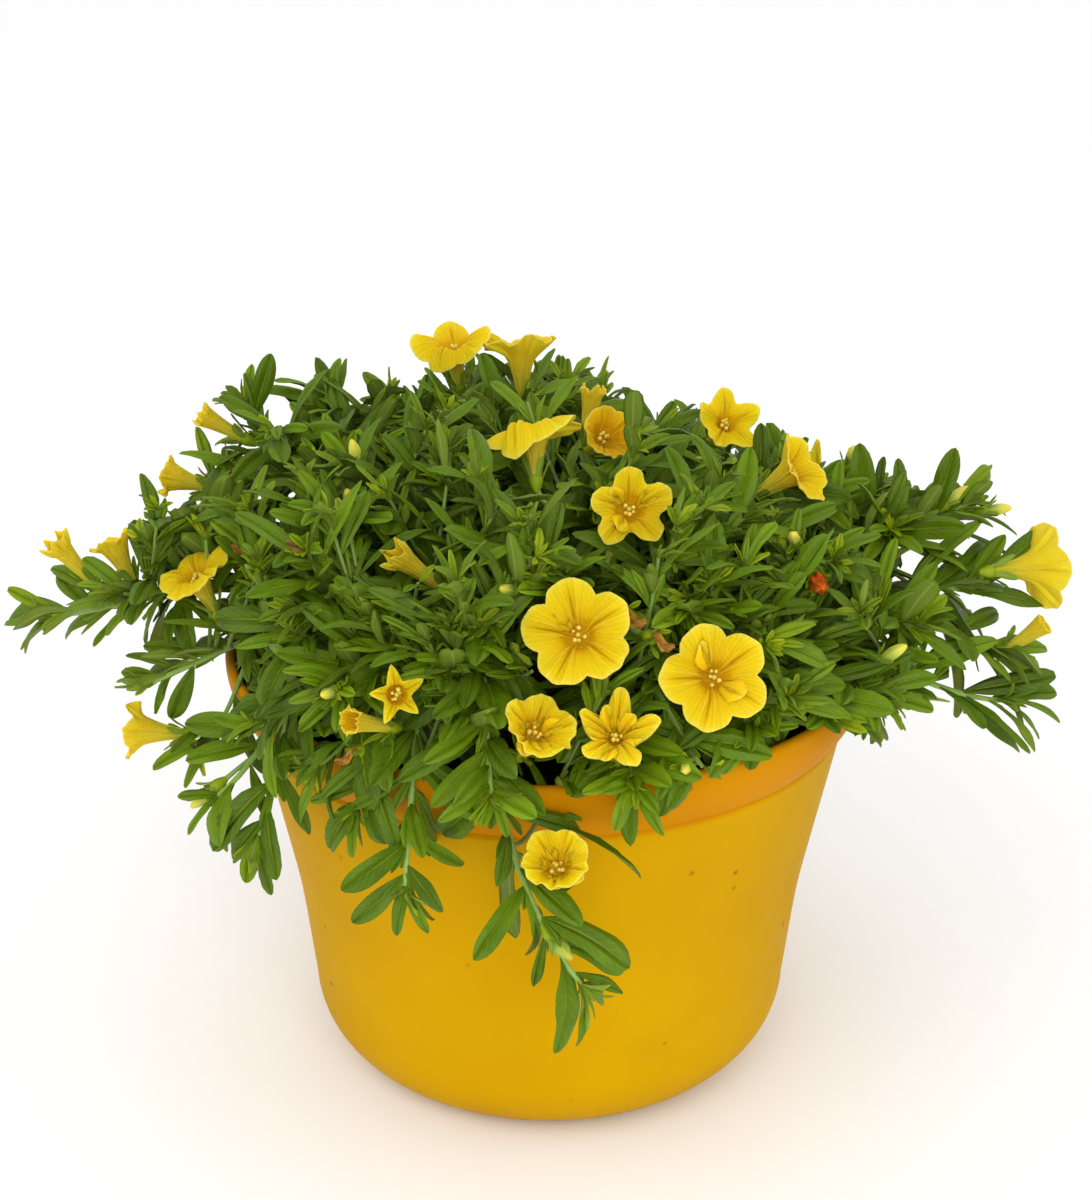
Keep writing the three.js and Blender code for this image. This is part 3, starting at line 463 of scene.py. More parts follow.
HOLLOWS = (  # places between shoots and along the collar that stay in view from the front, and their radii
    ((-81.5, -26, 110), 7.5),
    ((-79, -18, 105), 3.5),
    ((37, -71, 100), 7.5),
    ((49, -63, 100), 7.5),
    ((58, -55, 100), 7.5),
    ((66, -45, 100), 7.5),
    ((88.6, 0, 132), 3),
    ((106, -5, 100), 4.5),
    ((112, -5, 120.6), 4),
    ((94, -20, 93), 6),
    ((100.5, -20, 93.6), 5),
    ((116.7, -25, 88.9), 4),
    ((109.4, -25, 88.2), 4),
    ((78.9, -35, 93.3), 4),
    ((85.6, -35, 96.5), 3),
    ((-74, -45, 98.5), 4.5),
    ((-124, 0, 106.5), 5),
    ((-110, 0, 107), 3),
    ((-67, 20, 163.4), 3.5),
    ((-48, 30, 167), 3.5),
    ((26.4, 30, 161.5), 3.5),
)
LEAF_LENGTH, LEAF_SLENDERNESS, GOLDEN_ANGLE = 25.0, 0.165, 137.508
STEM_LEAVES, SHOOT_LEAVES, INNER_LEAVES = 24, 16, 9
INNER_SHOOTS, ROSETTE_LEAVES = 7, 7
LARGE = {  # how much larger the leaves towards a shoot's tip are
    ("spray_right_low", 0): 1.3,
    ("spray_front_trailing", 0): 1.15,
    ("spray_front_left", 0): 1.1,
    ("spray_left_low", 0): 1.05,
    ("spray_far_right", 0): 1.25,
    ("spray_far_right", 1): 1.5,
    ("spray_right_back", 0): 1.35,
    ("spray_far_left", 0): 1.25,
}
BUD_SHAPES = {"fresh": (1.7, 0.1), "dried": (1.0, 0.5), "faded": (2.2, 0.3)}  # girth, and how crumpled
BLADE_RINGS = np.array([0.05, 0.18, 0.34, 0.52, 0.7, 0.86, 0.96])
LARGE_RINGS = np.linspace(0.03, 0.97, 13)
BLADE_SIDES = np.array([0, 0.5, 1, 0, -1, -0.5])
BLADE_TOP = np.array([1, 1, 1, 0, 1, 1])
BLADE_OUT = np.array([0, 0.5, 1, 2, 1, 0.5])  # 0: midrib above, 1: margin, 2: midrib below
UP = np.array([0.0, 0.0, 1.0])
VIEWER = np.array([0.0, -610.0, 400.0])


def unit(vectors):
    """Vectors to length one."""
    return vectors / np.linalg.norm(vectors, axis=-1, keepdims=True)


def across(vectors, axis):
    """The part of vectors at right angles to an axis, to length one."""
    return unit(vectors - np.sum(vectors * axis, -1, keepdims=True) * axis)


def square_to(axis, steep=0.95):
    """A direction square to an axis: the part of Z across it, or of X where the axis is steep."""
    return across(UP if abs(axis[2]) < steep else np.array([1.0, 0, 0]), axis)


def spokes(axis, turn, steep=0.95):
    """Directions square to an axis, at angles round it: side cos a + flank sin a."""
    side = square_to(axis, steep)
    return side * np.cos(turn)[:, None] + np.cross(axis, side) * np.sin(turn)[:, None]


def polar(azimuth, reach, height):
    """A point by its azimuth in degrees about Z, its distance from Z and its height."""
    angle = math.radians(azimuth)
    return np.array([reach * math.cos(angle), reach * math.sin(angle), height])


def heading(azimuth, elevation):
    """A direction by its azimuth and its elevation in degrees."""
    return polar(azimuth, math.cos(math.radians(elevation)), math.sin(math.radians(elevation)))


def draw(*keys):
    """A number from 0 to 1 that depends on the seed and some whole numbers, by two multiply-and-shift rounds
    each."""
    value = SEED
    for key in keys:
        value = ((value ^ key) * 2654435761) & 0xFFFFFFFF
        value ^= value >> 15
        value = (value * 2246822519) & 0xFFFFFFFF
        value ^= value >> 13
    return value / 4294967296


def cubic(corners, along):
    """Points on a cubic Bezier curve at shares of its parameter, and its directions there."""
    t = np.asarray(along, float)[..., None]
    a, b, c, d = corners
    points = (1 - t) ** 3 * a + 3 * (1 - t) ** 2 * t * b + 3 * (1 - t) * t**2 * c + t**3 * d
    slope = (1 - t) ** 2 * (b - a) + 2 * (1 - t) * t * (c - b) + t**2 * (d - c)
    return points, unit(slope)


def shoot_corners(root, tip, stem):
    """The four corners of a shoot's curve. A stem rises straight from its root and leans out to its tip; a
    side shoot leaves its stem half-way along. The last stretch runs at the tip's pitch, swung sideways by an
    angle about Z, and hangs where it points down."""
    azimuth, reach, height, pitch, rise, swing = (*tip, 0)[:6]
    end = polar(azimuth, reach, height)
    foot = polar(*root, soil_top(root[1]) + 0.5) if stem is None else cubic(stem, 0.5)[0]
    out = (end - foot) * (1, 1, 0)
    out = unit(polar(azimuth, 1, 0) if np.linalg.norm(out) < 4 else out)
    length = np.linalg.norm(end - foot)
    swung = out * math.cos(math.radians(swing)) + np.cross(UP, out) * math.sin(math.radians(swing))
    aim = swung * math.cos(math.radians(pitch)) + UP * math.sin(math.radians(pitch))
    start = foot + UP * rise if stem is None else foot + UP * rise * 0.7 + out * length * 0.2
    hang = rise * max(0, -aim[2])
    return np.array([foot, start, end - aim * (0.36 * length + 0.45 * hang), end])


def tube(path, radii, sides, marks):
    """A round tube along a path: ring i lies square to the path there, with the radius given for it."""
    tangents = unit(np.gradient(path, axis=0))
    flat = np.argmin(np.abs(tangents).max(0))
    side = across(np.eye(3)[flat], tangents)
    flank = np.cross(tangents, side)
    angle = 2 * np.pi * np.arange(sides) / sides
    ring = np.cos(angle)[:, None] * side[:, None] + np.sin(angle)[:, None] * flank[:, None]
    place = path[:, None] + ring * np.reshape(radii, (-1, 1, 1))
    marks = np.reshape(marks, (-1, 1, 3))
    rings = np.concatenate([place, np.broadcast_to(marks, place.shape)], -1)[None]
    return skin(rings, *(np.concatenate([path[i], marks[i, 0]])[None] for i in (0, -1)))


def stalk(path, radii, sides, along):
    """A stem or a flower stalk: a tube whose first mark runs from old to young, with the stems' own
    material."""
    return stem_skin, tube(path, radii, sides, np.stack([along, 0 * along, 0 * along], -1))


def blades(foot, direction, upper, length, bend, width, tone, rolls, rings=BLADE_RINGS):
    """Leaf blades, any number at once, as closed skins. Share s along a blade: half width = width s (1 -
    s)^0.6 / 0.347; the middle line is an arc of `bend` radians away from the upper face, swung sideways as s
    squared and twisted as s; the halves fold up from the midrib, round over, and wave along their margins.
    rolls: four draws for each blade. rings: the shares at which a blade has its rings."""
    s = rings[None, :, None]
    c, top = BLADE_SIDES[None, None, :], BLADE_TOP[None, None, :]
    length, bend, width = (np.asarray(v)[:, None, None] for v in (length, bend, width))
    swing, twist, fold, phase = (rolls[:, i, None, None] for i in range(4))
    half = width * s * (1 - s) ** 0.6 / 0.347
    angle = bend * s
    ahead = length / bend * np.sin(angle)
    drop = length / bend * (1 - np.cos(angle))
    reach = half * np.abs(c)
    crown = half * 0.22 * np.sin(np.pi * np.abs(c))
    lift = top * (reach * (0.16 + 0.34 * fold) + crown - reach * 0.18 * np.abs(c))
    lift = lift + top * half * 0.16 * np.abs(c) * np.sin(9 * s + 6 * phase + 1.5 * np.sign(c))
    lift = lift - (1 - top) * (0.14 + 0.10 * half)
    sideways = c * half + 0.22 * (swing - 0.5) * length * s**2
    roll = 0.9 * (twist - 0.5) * s
    sideways, lift = (
        sideways * np.cos(roll) - lift * np.sin(roll),
        sideways * np.sin(roll) + lift * np.cos(roll),
    )
    direction, upper, foot = direction[:, None, None], upper[:, None, None], foot[:, None, None]
    side = np.cross(direction, upper)
    place = foot + direction * (ahead + lift * np.sin(angle))[..., None]
    place = place + upper * (lift * np.cos(angle) - drop)[..., None] + side * sideways[..., None]
    marks = np.broadcast_arrays(s + 0 * place[..., 0], BLADE_OUT, np.asarray(tone)[:, None, None])
    place = np.concatenate([place, np.stack(marks, -1)], -1)
    ahead, drop = length / bend * np.sin(bend), length / bend * (1 - np.cos(bend))
    end = ahead[..., None] * direction - drop[..., None] * upper
    end = (foot + end + 0.22 * (swing[..., None] - 0.5) * length[..., None] * side)[:, 0, 0]
    base = np.concatenate([foot[:, 0, 0], np.stack([0 * tone, 0 * tone, tone], -1)], -1)
    point = np.concatenate([end, np.stack([0 * tone + 1, 0 * tone, tone], -1)], -1)
    return skin(place, base, point)


def leaf_stances(corners, count, index, order, turn):
    """How the leaves of a shoot stand: they turn round it by the golden angle, close up and get shorter
    towards its tip, lift their upper faces to the light and arch down. turn, in degrees, swings them all
    round the shoot."""
    rank = np.arange(count)
    share = (rank + 0.5) / count
    drawn = np.array([[draw(index, order, int(i), key) for key in (2, 3, 4, 5)] for i in rank])
    foot, axis = cubic(corners, 0.3 + 0.7 * (1 - (1 - share) ** 1.5))
    guide = np.where(np.abs(axis[:, 2:]) < 0.95, UP, (1.0, 0.0, 0.0))
    side = across(guide, axis)
    around = np.radians(rank * GOLDEN_ANGLE + 360 * draw(index, order, 1) + turn)[:, None]
    radial = side * np.cos(around) + np.cross(axis, side) * np.sin(around)
    opening = np.radians(68 - 44 * share + 14 * (drawn[:, 0] - 0.5))[:, None]
    direction = unit(axis * np.cos(opening) + radial * np.sin(opening) + 0.22 * UP)
    upper = across(axis, direction) * 0.55 + across(UP, direction) * 0.75
    upper = upper + np.cross(direction, upper) * (0.6 * (drawn[:, 1:2] - 0.5))
    length = LEAF_LENGTH * (0.92 - 0.5 * share**2.2) * (0.78 + 0.36 * drawn[:, 2])
    return foot, direction, across(upper, direction), length, 0.25 + 0.75 * drawn[:, 3], share, axis


def canopy(x, y):
    """How high leaves may reach: lower towards the back and both sides, with two crests and a dip between
    them."""
    sides = 0.45 * np.clip(x - 15, 0, 63) + np.minimum(0.036 * np.maximum(-x - 66, 0) ** 2, 42)
    crests = 6 * np.exp(-(((x + 72) / 11) ** 2)) + 5 * np.exp(-(((x + 13) / 16) ** 2))
    return 181 - 0.37 * y - sides + crests - 7 * np.exp(-(((x + 38) / 10) ** 2))


def mouth(form, size):
    """How far a bloom's mouth stands from the foot of its tube."""
    length, throat, spread = FORMS[form][:3]
    return length + (size - throat) * math.cos(math.radians(spread))


def bloom_foot(at, facing, form, size):
    """The foot of a bloom's tube."""
    return np.array(at) - heading(*facing) * mouth(form, size)


def beside(points, middle):
    """How far points stand in front of a place, and how far from the line that runs from it to a viewer in
    front."""
    place, line = points - middle, unit(VIEWER - middle)
    ahead = place @ line
    return ahead, np.linalg.norm(place - ahead[..., None] * line, axis=-1)


def is_clear(points):
    """Whether points, (..., 3), keep off every corolla's cone, the room in front of an open one, the light
    that reaches its limb from the front, the pot's wall and the compost: each is a test on the distance from
    an axis and the height along it."""
    clear = np.ones(points.shape[:-1], bool)
    for _, at, facing, form, size in BLOOMS.values():
        length, throat, spread = FORMS[form][:3]
        axis = heading(*facing)
        place = points - bloom_foot(at, facing, form, size)
        height = place @ axis
        reach = np.linalg.norm(place - height[..., None] * axis, axis=-1)
        limb = length + np.maximum(reach - throat, 0) / math.tan(math.radians(spread))
        room = 9 if form in ("open", "star") else 5
        near = (height > limb - 2) & (height < limb + room) & (reach < size * 0.85)
        near |= (np.abs(height - limb) < 2) & (reach < size + 1)
        near |= (height > 1) & (height < length) & (reach < throat + 1.2)
        depth = mouth(form, size)
        open_room = size * (1.0 if at[1] < -10 else 0.7)
        for back, room in ((2, open_room), (depth * 0.45, throat + 1.5), (depth * 0.8, 2.5)):
            ahead, aside = beside(points, np.array(at) - axis * back)
            near |= (at[1] < 60) & (ahead > 0) & (ahead < 60) & (aside < room)
        clear &= ~near
    for middle, room in HOLLOWS:
        clear &= beside(points, middle)[1] > room
    for _, at, length, kind in BUDS:
        ahead, aside = beside(points, at)
        clear &= (kind == "dried") | (at[1] > 0) | (ahead < -1) | (ahead > 40) | (aside > 0.35 * length)
    reach, height = np.linalg.norm(points[..., :2], axis=-1), points[..., 2]
    wall = outer_radius(np.clip(height, 0, POT_HEIGHT))
    clear &= ~((height < POT_HEIGHT + 0.6) & (reach > wall - 3.2) & (reach < wall + 0.8))
    return clear & ~((reach < wall - 2) & (height < soil_top(reach) + 0.6))


def cut_back(corners, least):
    """A shoot's curve, cut back to where its end is clear, but to no less than a share of it: the corners of
    the first part of a cubic come from halving rules taken at that share."""
    for share in (1, 0.92, 0.84, 0.76, 0.68, 0.6, 0.5):
        a, b, c, d = corners
        ab, bc, cd = a + (b - a) * share, b + (c - b) * share, c + (d - c) * share
        abc, bcd = ab + (bc - ab) * share, bc + (cd - bc) * share
        kept = np.array([a, ab, abc, abc + (bcd - abc) * share])
        if share <= least or is_clear(kept[3:] + unit(kept[3:] - kept[2:3]) * 3).all():
            break
    return kept


def middles(foot, direction, upper, length, bend):
    """Points along the middle lines of blades: arcs of `bend` radians away from the upper face."""
    s = np.linspace(0.25, 1, 6)[:, None]
    length, bend = length[..., None, None], bend[..., None, None]
    ahead = length / bend * np.sin(bend * s) * direction[..., None, :]
    return foot[..., None, :] + ahead - length / bend * (1 - np.cos(bend * s)) * upper[..., None, :]


def jitter(count):
    """Draws from -0.5 to 0.5 for the three parts of each of some vectors."""
    return rng.random((count, 3)) - 0.5


def rosette(corners, hang):
    """The young leaves that close a shoot's tip: small blades that turn round it and lean out by a draw."""
    tip, aim = (v[0] for v in cubic(corners, [1.0]))
    turn = np.radians(137.5) * np.arange(ROSETTE_LEAVES) + 6.28 * rng.random()
    turn = turn + 0.6 * rng.random(ROSETTE_LEAVES)
    radial = spokes(aim, turn, 0.9)
    young = unit(aim + radial * (0.15 + 0.8 * rng.random((ROSETTE_LEAVES, 1))))
    length = (3 + 5 * rng.random(ROSETTE_LEAVES)) * (1 + 0.6 * hang)
    fits = is_clear(tip + young * length[:, None])
    count = fits.sum()
    if not count:
        return []
    face, length = across(aim - radial * 0.3, young)[fits], length[fits]
    bend = 0.2 + 0.8 * rng.random(count)
    width = length * (0.11 + 0.07 * rng.random(count))
    tone = 0.55 + 0.35 * rng.random(count)
    foot = np.repeat(tip[None], count, 0)
    stance = foot, young[fits], face, length, bend, width
    return [blades(*stance, tone, rng.random((count, 4)), BLADE_RINGS[::2])]


def leafage(corners, count, index, order, large=1.0, dry=0.0):
    """A shoot's leaves, its axil tufts and its tip's rosette as skins. Each leaf takes the first of five
    turns that keeps its middle line clear, and is left out if none does. Leaves grow towards the tip by
    `large`, and are shortened where they would stand above the canopy. dry: the share of the leaves that have
    dried."""
    stances = [leaf_stances(corners, count, index, order, turn) for turn in (0, 25, -25, 50, -50)]
    stances = [np.stack(part) for part in zip(*stances)]
    ok = is_clear(middles(*stances[:5])).all(-1)
    kept = np.flatnonzero(ok.any(0))
    if not len(kept):
        return []
    first = ok.argmax(0)[kept]
    foot, direction, upper, length, bend, share, axis = (part[first, kept] for part in stances)
    count = len(kept)
    hang = max(0, -unit(corners[3] - corners[2])[2])
    length = length * (0.86 + 0.24 * rng.random(count) + 0.25 * hang * share**2) * (1 + (large - 1) * share)
    loose = unit(direction + 0.3 * jitter(count))
    free = is_clear(middles(foot, loose, across(upper, loose), length, bend)).all(-1)
    direction = np.where(free[:, None], loose, direction)
    upper = across(upper, direction)
    tops = foot + direction * length[:, None]
    room = canopy(*tops[:, :2].T) + 7 * rng.random(count) - foot[:, 2]
    length = length * np.clip(room / np.maximum(tops[:, 2] - foot[:, 2], 1), 0.45, 1)
    spread = 0.42 + 0.25 * hang + 0.5 * (large - 1)
    width = length * LEAF_SLENDERNESS * (0.56 + spread * rng.random(count) ** 1.3)
    # Painted shade: leaves whose feet stand above 145 mm get a darker tone, against the stronger light up
    # there.
    top_shade = np.clip((foot[:, 2] - 145) / 20, 0, 1)
    tone = 0.07 - 0.12 * hang - 0.08 * top_shade + 0.28 * share**2 * (1 - 0.5 * hang) + 0.33 * rng.random(count)
    dead = rng.random(count) < dry
    length, tone = np.where(dead, 0.5 * length, length), np.where(dead, 1.6, tone)
    rings = LARGE_RINGS if large > 1 else BLADE_RINGS
    made = [blades(foot, direction, upper, length, bend, width, tone, rng.random((count, 4)), rings)]
    for way in (-1, 0, 1):
        side = np.cross(direction, upper)
        lean = side * (way * (0.25 + 0.5 * rng.random((count, 1)))) + 0.35 * jitter(count)
        small = unit(direction * 0.55 + axis * 0.75 + lean)
        small_length = length * (0.26 + 0.34 * rng.random(count))
        face = across(upper + 0.5 * jitter(count), small)
        line = foot[:, None] + small[:, None] * small_length[:, None, None] * np.array([0.4, 0.7, 1])[:, None]
        fits = is_clear(line).all(-1) & (rng.random(count) < 0.68)
        tuft = fits.sum()
        if tuft:
            small_bend = 0.2 + 0.7 * rng.random(tuft)
            small_width = small_length[fits] * (0.08 + 0.08 * rng.random(tuft))
            stance = foot[fits], small[fits], face[fits], small_length[fits], small_bend, small_width
            small_tone = np.minimum(tone[fits] + 0.15, 0.9)
            made.append(blades(*stance, small_tone, rng.random((tuft, 4)), BLADE_RINGS[::2]))
    return made + rosette(corners, hang)


def calyx(foot, axis, length, spread):
    """The cup that a tube or a bud stands in, and its five narrow sepals round it."""
    path = foot + axis * np.linspace(-3.2, 0.9, 6)[:, None]
    cup = tube(path, [0.6, 1.0, 1.35, 1.6, 1.7, 1.5], 10, (0.2, 0.5, 0.75))
    radial = spokes(axis, 2 * np.pi * np.arange(5) / 5 + 0.3)
    out = np.radians(spread + 12 * rng.random(5))[:, None]
    direction = axis * np.cos(out) + radial * np.sin(out)
    lengths = length * (0.85 + 0.3 * rng.random(5))
    base = foot + radial * 1.25 - axis * 0.6
    bends = 0.15 + 0.45 * rng.random(5)
    tones = 0.55 + 0.2 * rng.random(5)
    face = across(-radial, direction)
    sepals = blades(base, direction, face, lengths, bends, lengths * 0.14, tones, rng.random((5, 4)))
    return [(leaf, cup), (leaf, sepals)]


def closed_bud(point, axis, length, girth, crumple):
    """A furled bud: a spindle whose radius swells to a third of the way and narrows to a twisted, five-ribbed
    point. crumple: how deep the ribs are, and past a tenth how far it bends."""
    s = np.linspace(0.03, 0.97, 12)[:, None]
    angle = 2 * np.pi * np.arange(15) / 15
    ribs = 1 + crumple * np.cos(5 * angle + 3 * s)
    radius = girth * (length / 8) ** 0.5 * (s**0.55 * (1 - s) ** 0.6 / 0.52) * ribs
    place = point + axis * (-length * (1 - s))[..., None] + spokes(axis, angle) * radius[..., None]
    place = place + square_to(axis) * ((crumple - 0.1) * 3 * np.sin(7 * s) * s * (1 - s) * 4)[..., None]
    own = draw(int(length * 10), int(abs(point[0]) * 10))
    marks = np.broadcast_to(np.stack([s, 0 * s, 0 * s + own], -1), place.shape)
    ends = [np.concatenate([point - axis * length * (1 - i), [i, 0, 0.5]])[None] for i in (0, 1)]
    return skin(np.concatenate([place, marks], -1)[None], *ends)


def marks_of(where):
    """The three marks that a skin carries."""
    return parts(node(where.id_data, "ShaderNodeAttribute", attribute_name="marks").node.outputs[1])


def leaf_green():
    """Leaf skin: dark mid green when old and yellow green when young, with a paler midrib, faint side veins,
    soft mottling, a satin face, a paler underside and a brown shade for dried leaves."""
    material, shader, where = finish("leaf_green", Specular_IOR_Level=0.18)
    along, out, tone = marks_of(where)
    mottle = noise(where, 130, 3, 0.6)
    age = calc("ADD", tone, calc("MULTIPLY_ADD", mottle, 0.5, -0.25))
    colour = ramp(
        age, (0.0, tint(62, 85, 1)), (0.25, tint(81, 108, 2)), (0.5, tint(102, 131, 3)),
        (0.75, tint(134, 152, 7)), (1.0, tint(168, 178, 18)), smooth=False,
    )
    rib = calc("MULTIPLY", ranged(out, 0.03, 0.13, 0.55, 0), ranged(along, 0.2, 0.95, 1, 0.25))
    colour = mixed(ranged(noise(where, 75, 2), 0.5, 0.68, 0, 0.5), colour, tint(84, 108, 28))
    colour = mixed(rib, colour, tint(156, 172, 48))
    slant = calc("MULTIPLY_ADD", out, -2.6, calc("MULTIPLY", along, 9))
    vein = calc("POWER", calc("ABSOLUTE", calc("SINE", calc("MULTIPLY", slant, math.pi))), 12)
    vein = calc("SUBTRACT", 1.0, vein)
    colour = mixed(ranged(vein, 0.0, 0.6, 0.2, 0), colour, tint(124, 152, 34))
    below = mixed(ranged(out, 1.86, 1.97), tint(122, 144, 54), tint(154, 170, 74))
    colour = mixed(ranged(out, 1.02, 1.35, 0, 0.8), colour, below)
    brown = mixed(ranged(mottle, 0.4, 0.6), tint(86, 66, 18), tint(128, 102, 40))
    colour = mixed(ranged(tone, 1.3, 1.4), colour, brown)
    height = calc("MULTIPLY", ranged(out, 0.0, 0.16), 0.9)
    height = calc("ADD", height, calc("MULTIPLY", noise(where, 900, 2), 0.35))
    height = calc("ADD", height, calc("MULTIPLY", vein, 0.15))
    coat(shader, colour, height, 0.5, 0.00035, ranged(mottle, 0.3, 0.7, 0.42, 0.6))
    return material


def stem_green():
    """Stem skin: pale watery green, browner towards the root, faintly ridged."""
    material, shader, where = finish("stem_green", Roughness=0.5, Specular_IOR_Level=0.4, Sheen_Weight=0.08)
    root, low, high, tip = tint(96, 80, 40), tint(112, 122, 48), tint(118, 148, 58), tint(140, 172, 72)
    colour = ramp(marks_of(where)[0], (0.0, root), (0.3, low), (0.7, high), (1.0, tip))
    colour = mixed(ranged(noise(where, 220, 3), 0.45, 0.7, 0, 0.45), colour, tint(84, 112, 34))
    coat(shader, colour, noise(where, 1100, 2), 0.3, 0.0002)
    return material


def bud_skin():
    """A furled bud: green at the base and greenish yellow towards its tip, slightly uneven."""
    material, shader, where = finish("bud_skin", Roughness=0.5, Specular_IOR_Level=0.35, Sheen_Weight=0.1)
    along, _, tone = marks_of(where)
    age = calc("MULTIPLY_ADD", tone, 0.3, calc("SUBTRACT", along, 0.15))
    base, low, high, tip = tint(106, 136, 40), tint(160, 176, 56), tint(206, 200, 62), tint(222, 202, 60)
    colour = ramp(age, (0.0, base), (0.4, low), (0.75, high), (1.0, tip))
    coat(shader, colour, noise(where, 900, 2), 0.3, 0.0002)
    return material


def spent_petal(name, dark, middle, pale):
    """A spent flower, crumpled and dull, in three colours."""
    material, shader, where = finish(name, Roughness=0.8, Specular_IOR_Level=0.1)
    crumple = noise(where, 420, 3, 0.7)
    coat(shader, ramp(crumple, (0.3, dark), (0.5, middle), (0.7, pale)), crumple, 0.9, 0.0008)
    return material


def inner_shoot(root, stem, limit, index, extra):
    """A short shoot that fills a spray from inside: the first of four turns whose far part is clear, or the
    last. It is drawn in to a distance from the pot's axis and kept below the canopy."""
    (start,), (lean,) = cubic(stem, [0.04 + 0.12 * extra])
    swing, rise = (120, 25) if extra < 2 else (360, 60)
    for turn in (0, 75, -75, 150):
        azimuth = root[0] + turn + swing * (draw(index, 20, extra) - 0.5)
        way = heading(azimuth, 10 + rise * draw(index, 21, extra))
        reach = 20 + 16 * draw(index, 22, extra)
        end = start + way * reach + UP * 4
        inner = np.array([start, start + lean * reach * 0.3, start + way * reach * 0.6, end])
        inward = np.maximum(1, np.linalg.norm(inner[:, :2], axis=1) / limit)[:, None]
        inner[1:, :2] /= inward[1:]
        inner[3, 2] = min(inner[3, 2], canopy(*inner[3, :2]) - 8 - 6 * draw(index, 23, extra))
        if is_clear(cubic(inner, THIN[4:])[0]).all():
            break
    return inner


def flower_stalk(shoot, along, at, facing, form, size):
    """A flower's stalk, which leaves its shoot and ends along the flower's axis, and its calyx."""
    axis = heading(*facing)
    foot = bloom_foot(at, facing, form, size)
    (start,), (lean,) = cubic(shoot, [along])
    reach = np.linalg.norm(foot - start)
    end = foot - axis * 1.3
    curve = np.array([start, start + lean * 0.3 * reach, foot - axis * (0.35 * reach + 1.3), end])
    path = cubic(curve, np.linspace(0, 1, 14))[0]
    return [stalk(path, np.linspace(0.5, 0.7, 14), 6, np.linspace(0.6, 0.9, 14)), *calyx(foot, axis, 6.5, 14)]


def bud_on_stalk(shoot, along, at, length, kind):
    """A straight stalk from a shoot, with a bud or a spent flower at its end, in its calyx."""
    (start,), _ = cubic(shoot, [along])
    point = np.array(at, float)
    axis = unit(point - start)
    foot = point - axis * (length + 0.2)
    path = start + (foot - start) * np.linspace(0, 1, 6)[:, None]
    stem = stalk(path, np.linspace(0.45, 0.65, 6), 6, np.linspace(0.6, 0.9, 6))
    bud = bud_skins[kind], closed_bud(point, axis, length, *BUD_SHAPES[kind])
    return [stem, bud, *calyx(foot + axis * 0.6, axis, 4.5, 16)]


def lone_leaf(shoot, along, at, index, nth):
    """A long leaf from a place on a shoot to a point given for its end, with its face up and to the front."""
    start, _ = cubic(shoot, [along])
    span = np.array([at]) - start
    length, direction = np.linalg.norm(span, axis=1), unit(span)
    face = across(0.5 * unit(VIEWER - start) + UP + (0.3, 0, 0), direction)
    drawn = np.array([[draw(index, 30, nth, key) for key in range(4)]])
    bend, tone = 0.2 + 0.4 * drawn[0, :1], drawn[0, 1:2] * 0.3
    return leaf, blades(start, direction, face, length, bend, 1 + 0.09 * length, tone, drawn, LARGE_RINGS)


leaf, stem_skin = leaf_green(), stem_green()
bud_skins = {
    "fresh": bud_skin(),
    "dried": spent_petal("dried_petal", tint(108, 74, 24), tint(160, 114, 44), tint(198, 156, 78)),
    "faded": spent_petal("faded_petal", tint(170, 62, 12), tint(206, 88, 20), tint(222, 120, 40)),
}
THIN = np.linspace(0, 1, 12)
for index, (name, (root, tips)) in enumerate(SPRAYS.items()):
    stem = shoot_corners(root, tips[0], None)
    shoots = [stem] + [shoot_corners(root, tip, stem) for tip in tips[1:]]
    skins = []
    for order, corners in enumerate(shoots):
        borne = [spot[2] for spot, *_ in (*BLOOMS.values(), *BUDS, *LONE_LEAVES) if spot[:2] == (name, order)]
        corners = cut_back(corners, max(borne, default=0))
        along = np.linspace(0, 1, 26)
        path, _ = cubic(corners, along)
        if order == 0:
            radii = np.linspace(1.15, 0.62, 26)
            path = np.concatenate([path[:1] - UP * 6, path])
            radii, along = np.append(radii[0] * 1.1, radii), np.append(0, along)
        else:
            radii, along = np.linspace(0.8, 0.5, 26), 0.4 + 0.6 * along
        skins.append(stalk(path, radii, 7, along))
        count = STEM_LEAVES if order == 0 else SHOOT_LEAVES
        large = LARGE.get((name, order), 1)
        skins.extend((leaf, part) for part in leafage(corners, count, index, order, large))
    for extra in range(INNER_SHOOTS):
        inner = inner_shoot(root, stem, max(66, 0.8 * tips[0][1]), index, extra)
        skins.append(stalk(cubic(inner, THIN)[0], np.linspace(0.6, 0.4, 12), 6, 0.2 + 0.5 * THIN))
        skins.extend((leaf, part) for part in leafage(inner, INNER_LEAVES, index, 10 + extra, dry=0.02))
    for (bearer, order, along), *bloom in BLOOMS.values():
        if bearer == name:
            skins.extend(flower_stalk(shoots[order], along, *bloom))
    for (bearer, order, along), *bud in BUDS:
        if bearer == name:
            skins.extend(bud_on_stalk(shoots[order], along, *bud))
    for nth, ((bearer, order, along), at) in enumerate(LONE_LEAVES):
        if bearer == name:
            skins.append(lone_leaf(shoots[order], along, at, index, nth))
    piece(name.replace("spray", "foliage"), "leaf", name, *skins)

# ---- Flowers ----
# Each flower is one thin corolla grown in one piece: a narrow tube that flares into a limb of five joined
# lobes, each with a channel down its middle. Stamens and a pistil stand in the throat of every flower but the
# trumpets, and six flowers have an inner ruffle.
LOBES, CORNERS, PETAL = 5, 80, 0.32
PLAIN = dict(  # how a flower looks where the next table doesn't say
    age=0.0, ruffle=0.9, droop=0.1, fall=0, inner=0, first=90, lengths=(1, 1, 1, 1, 1), split=0.0
)
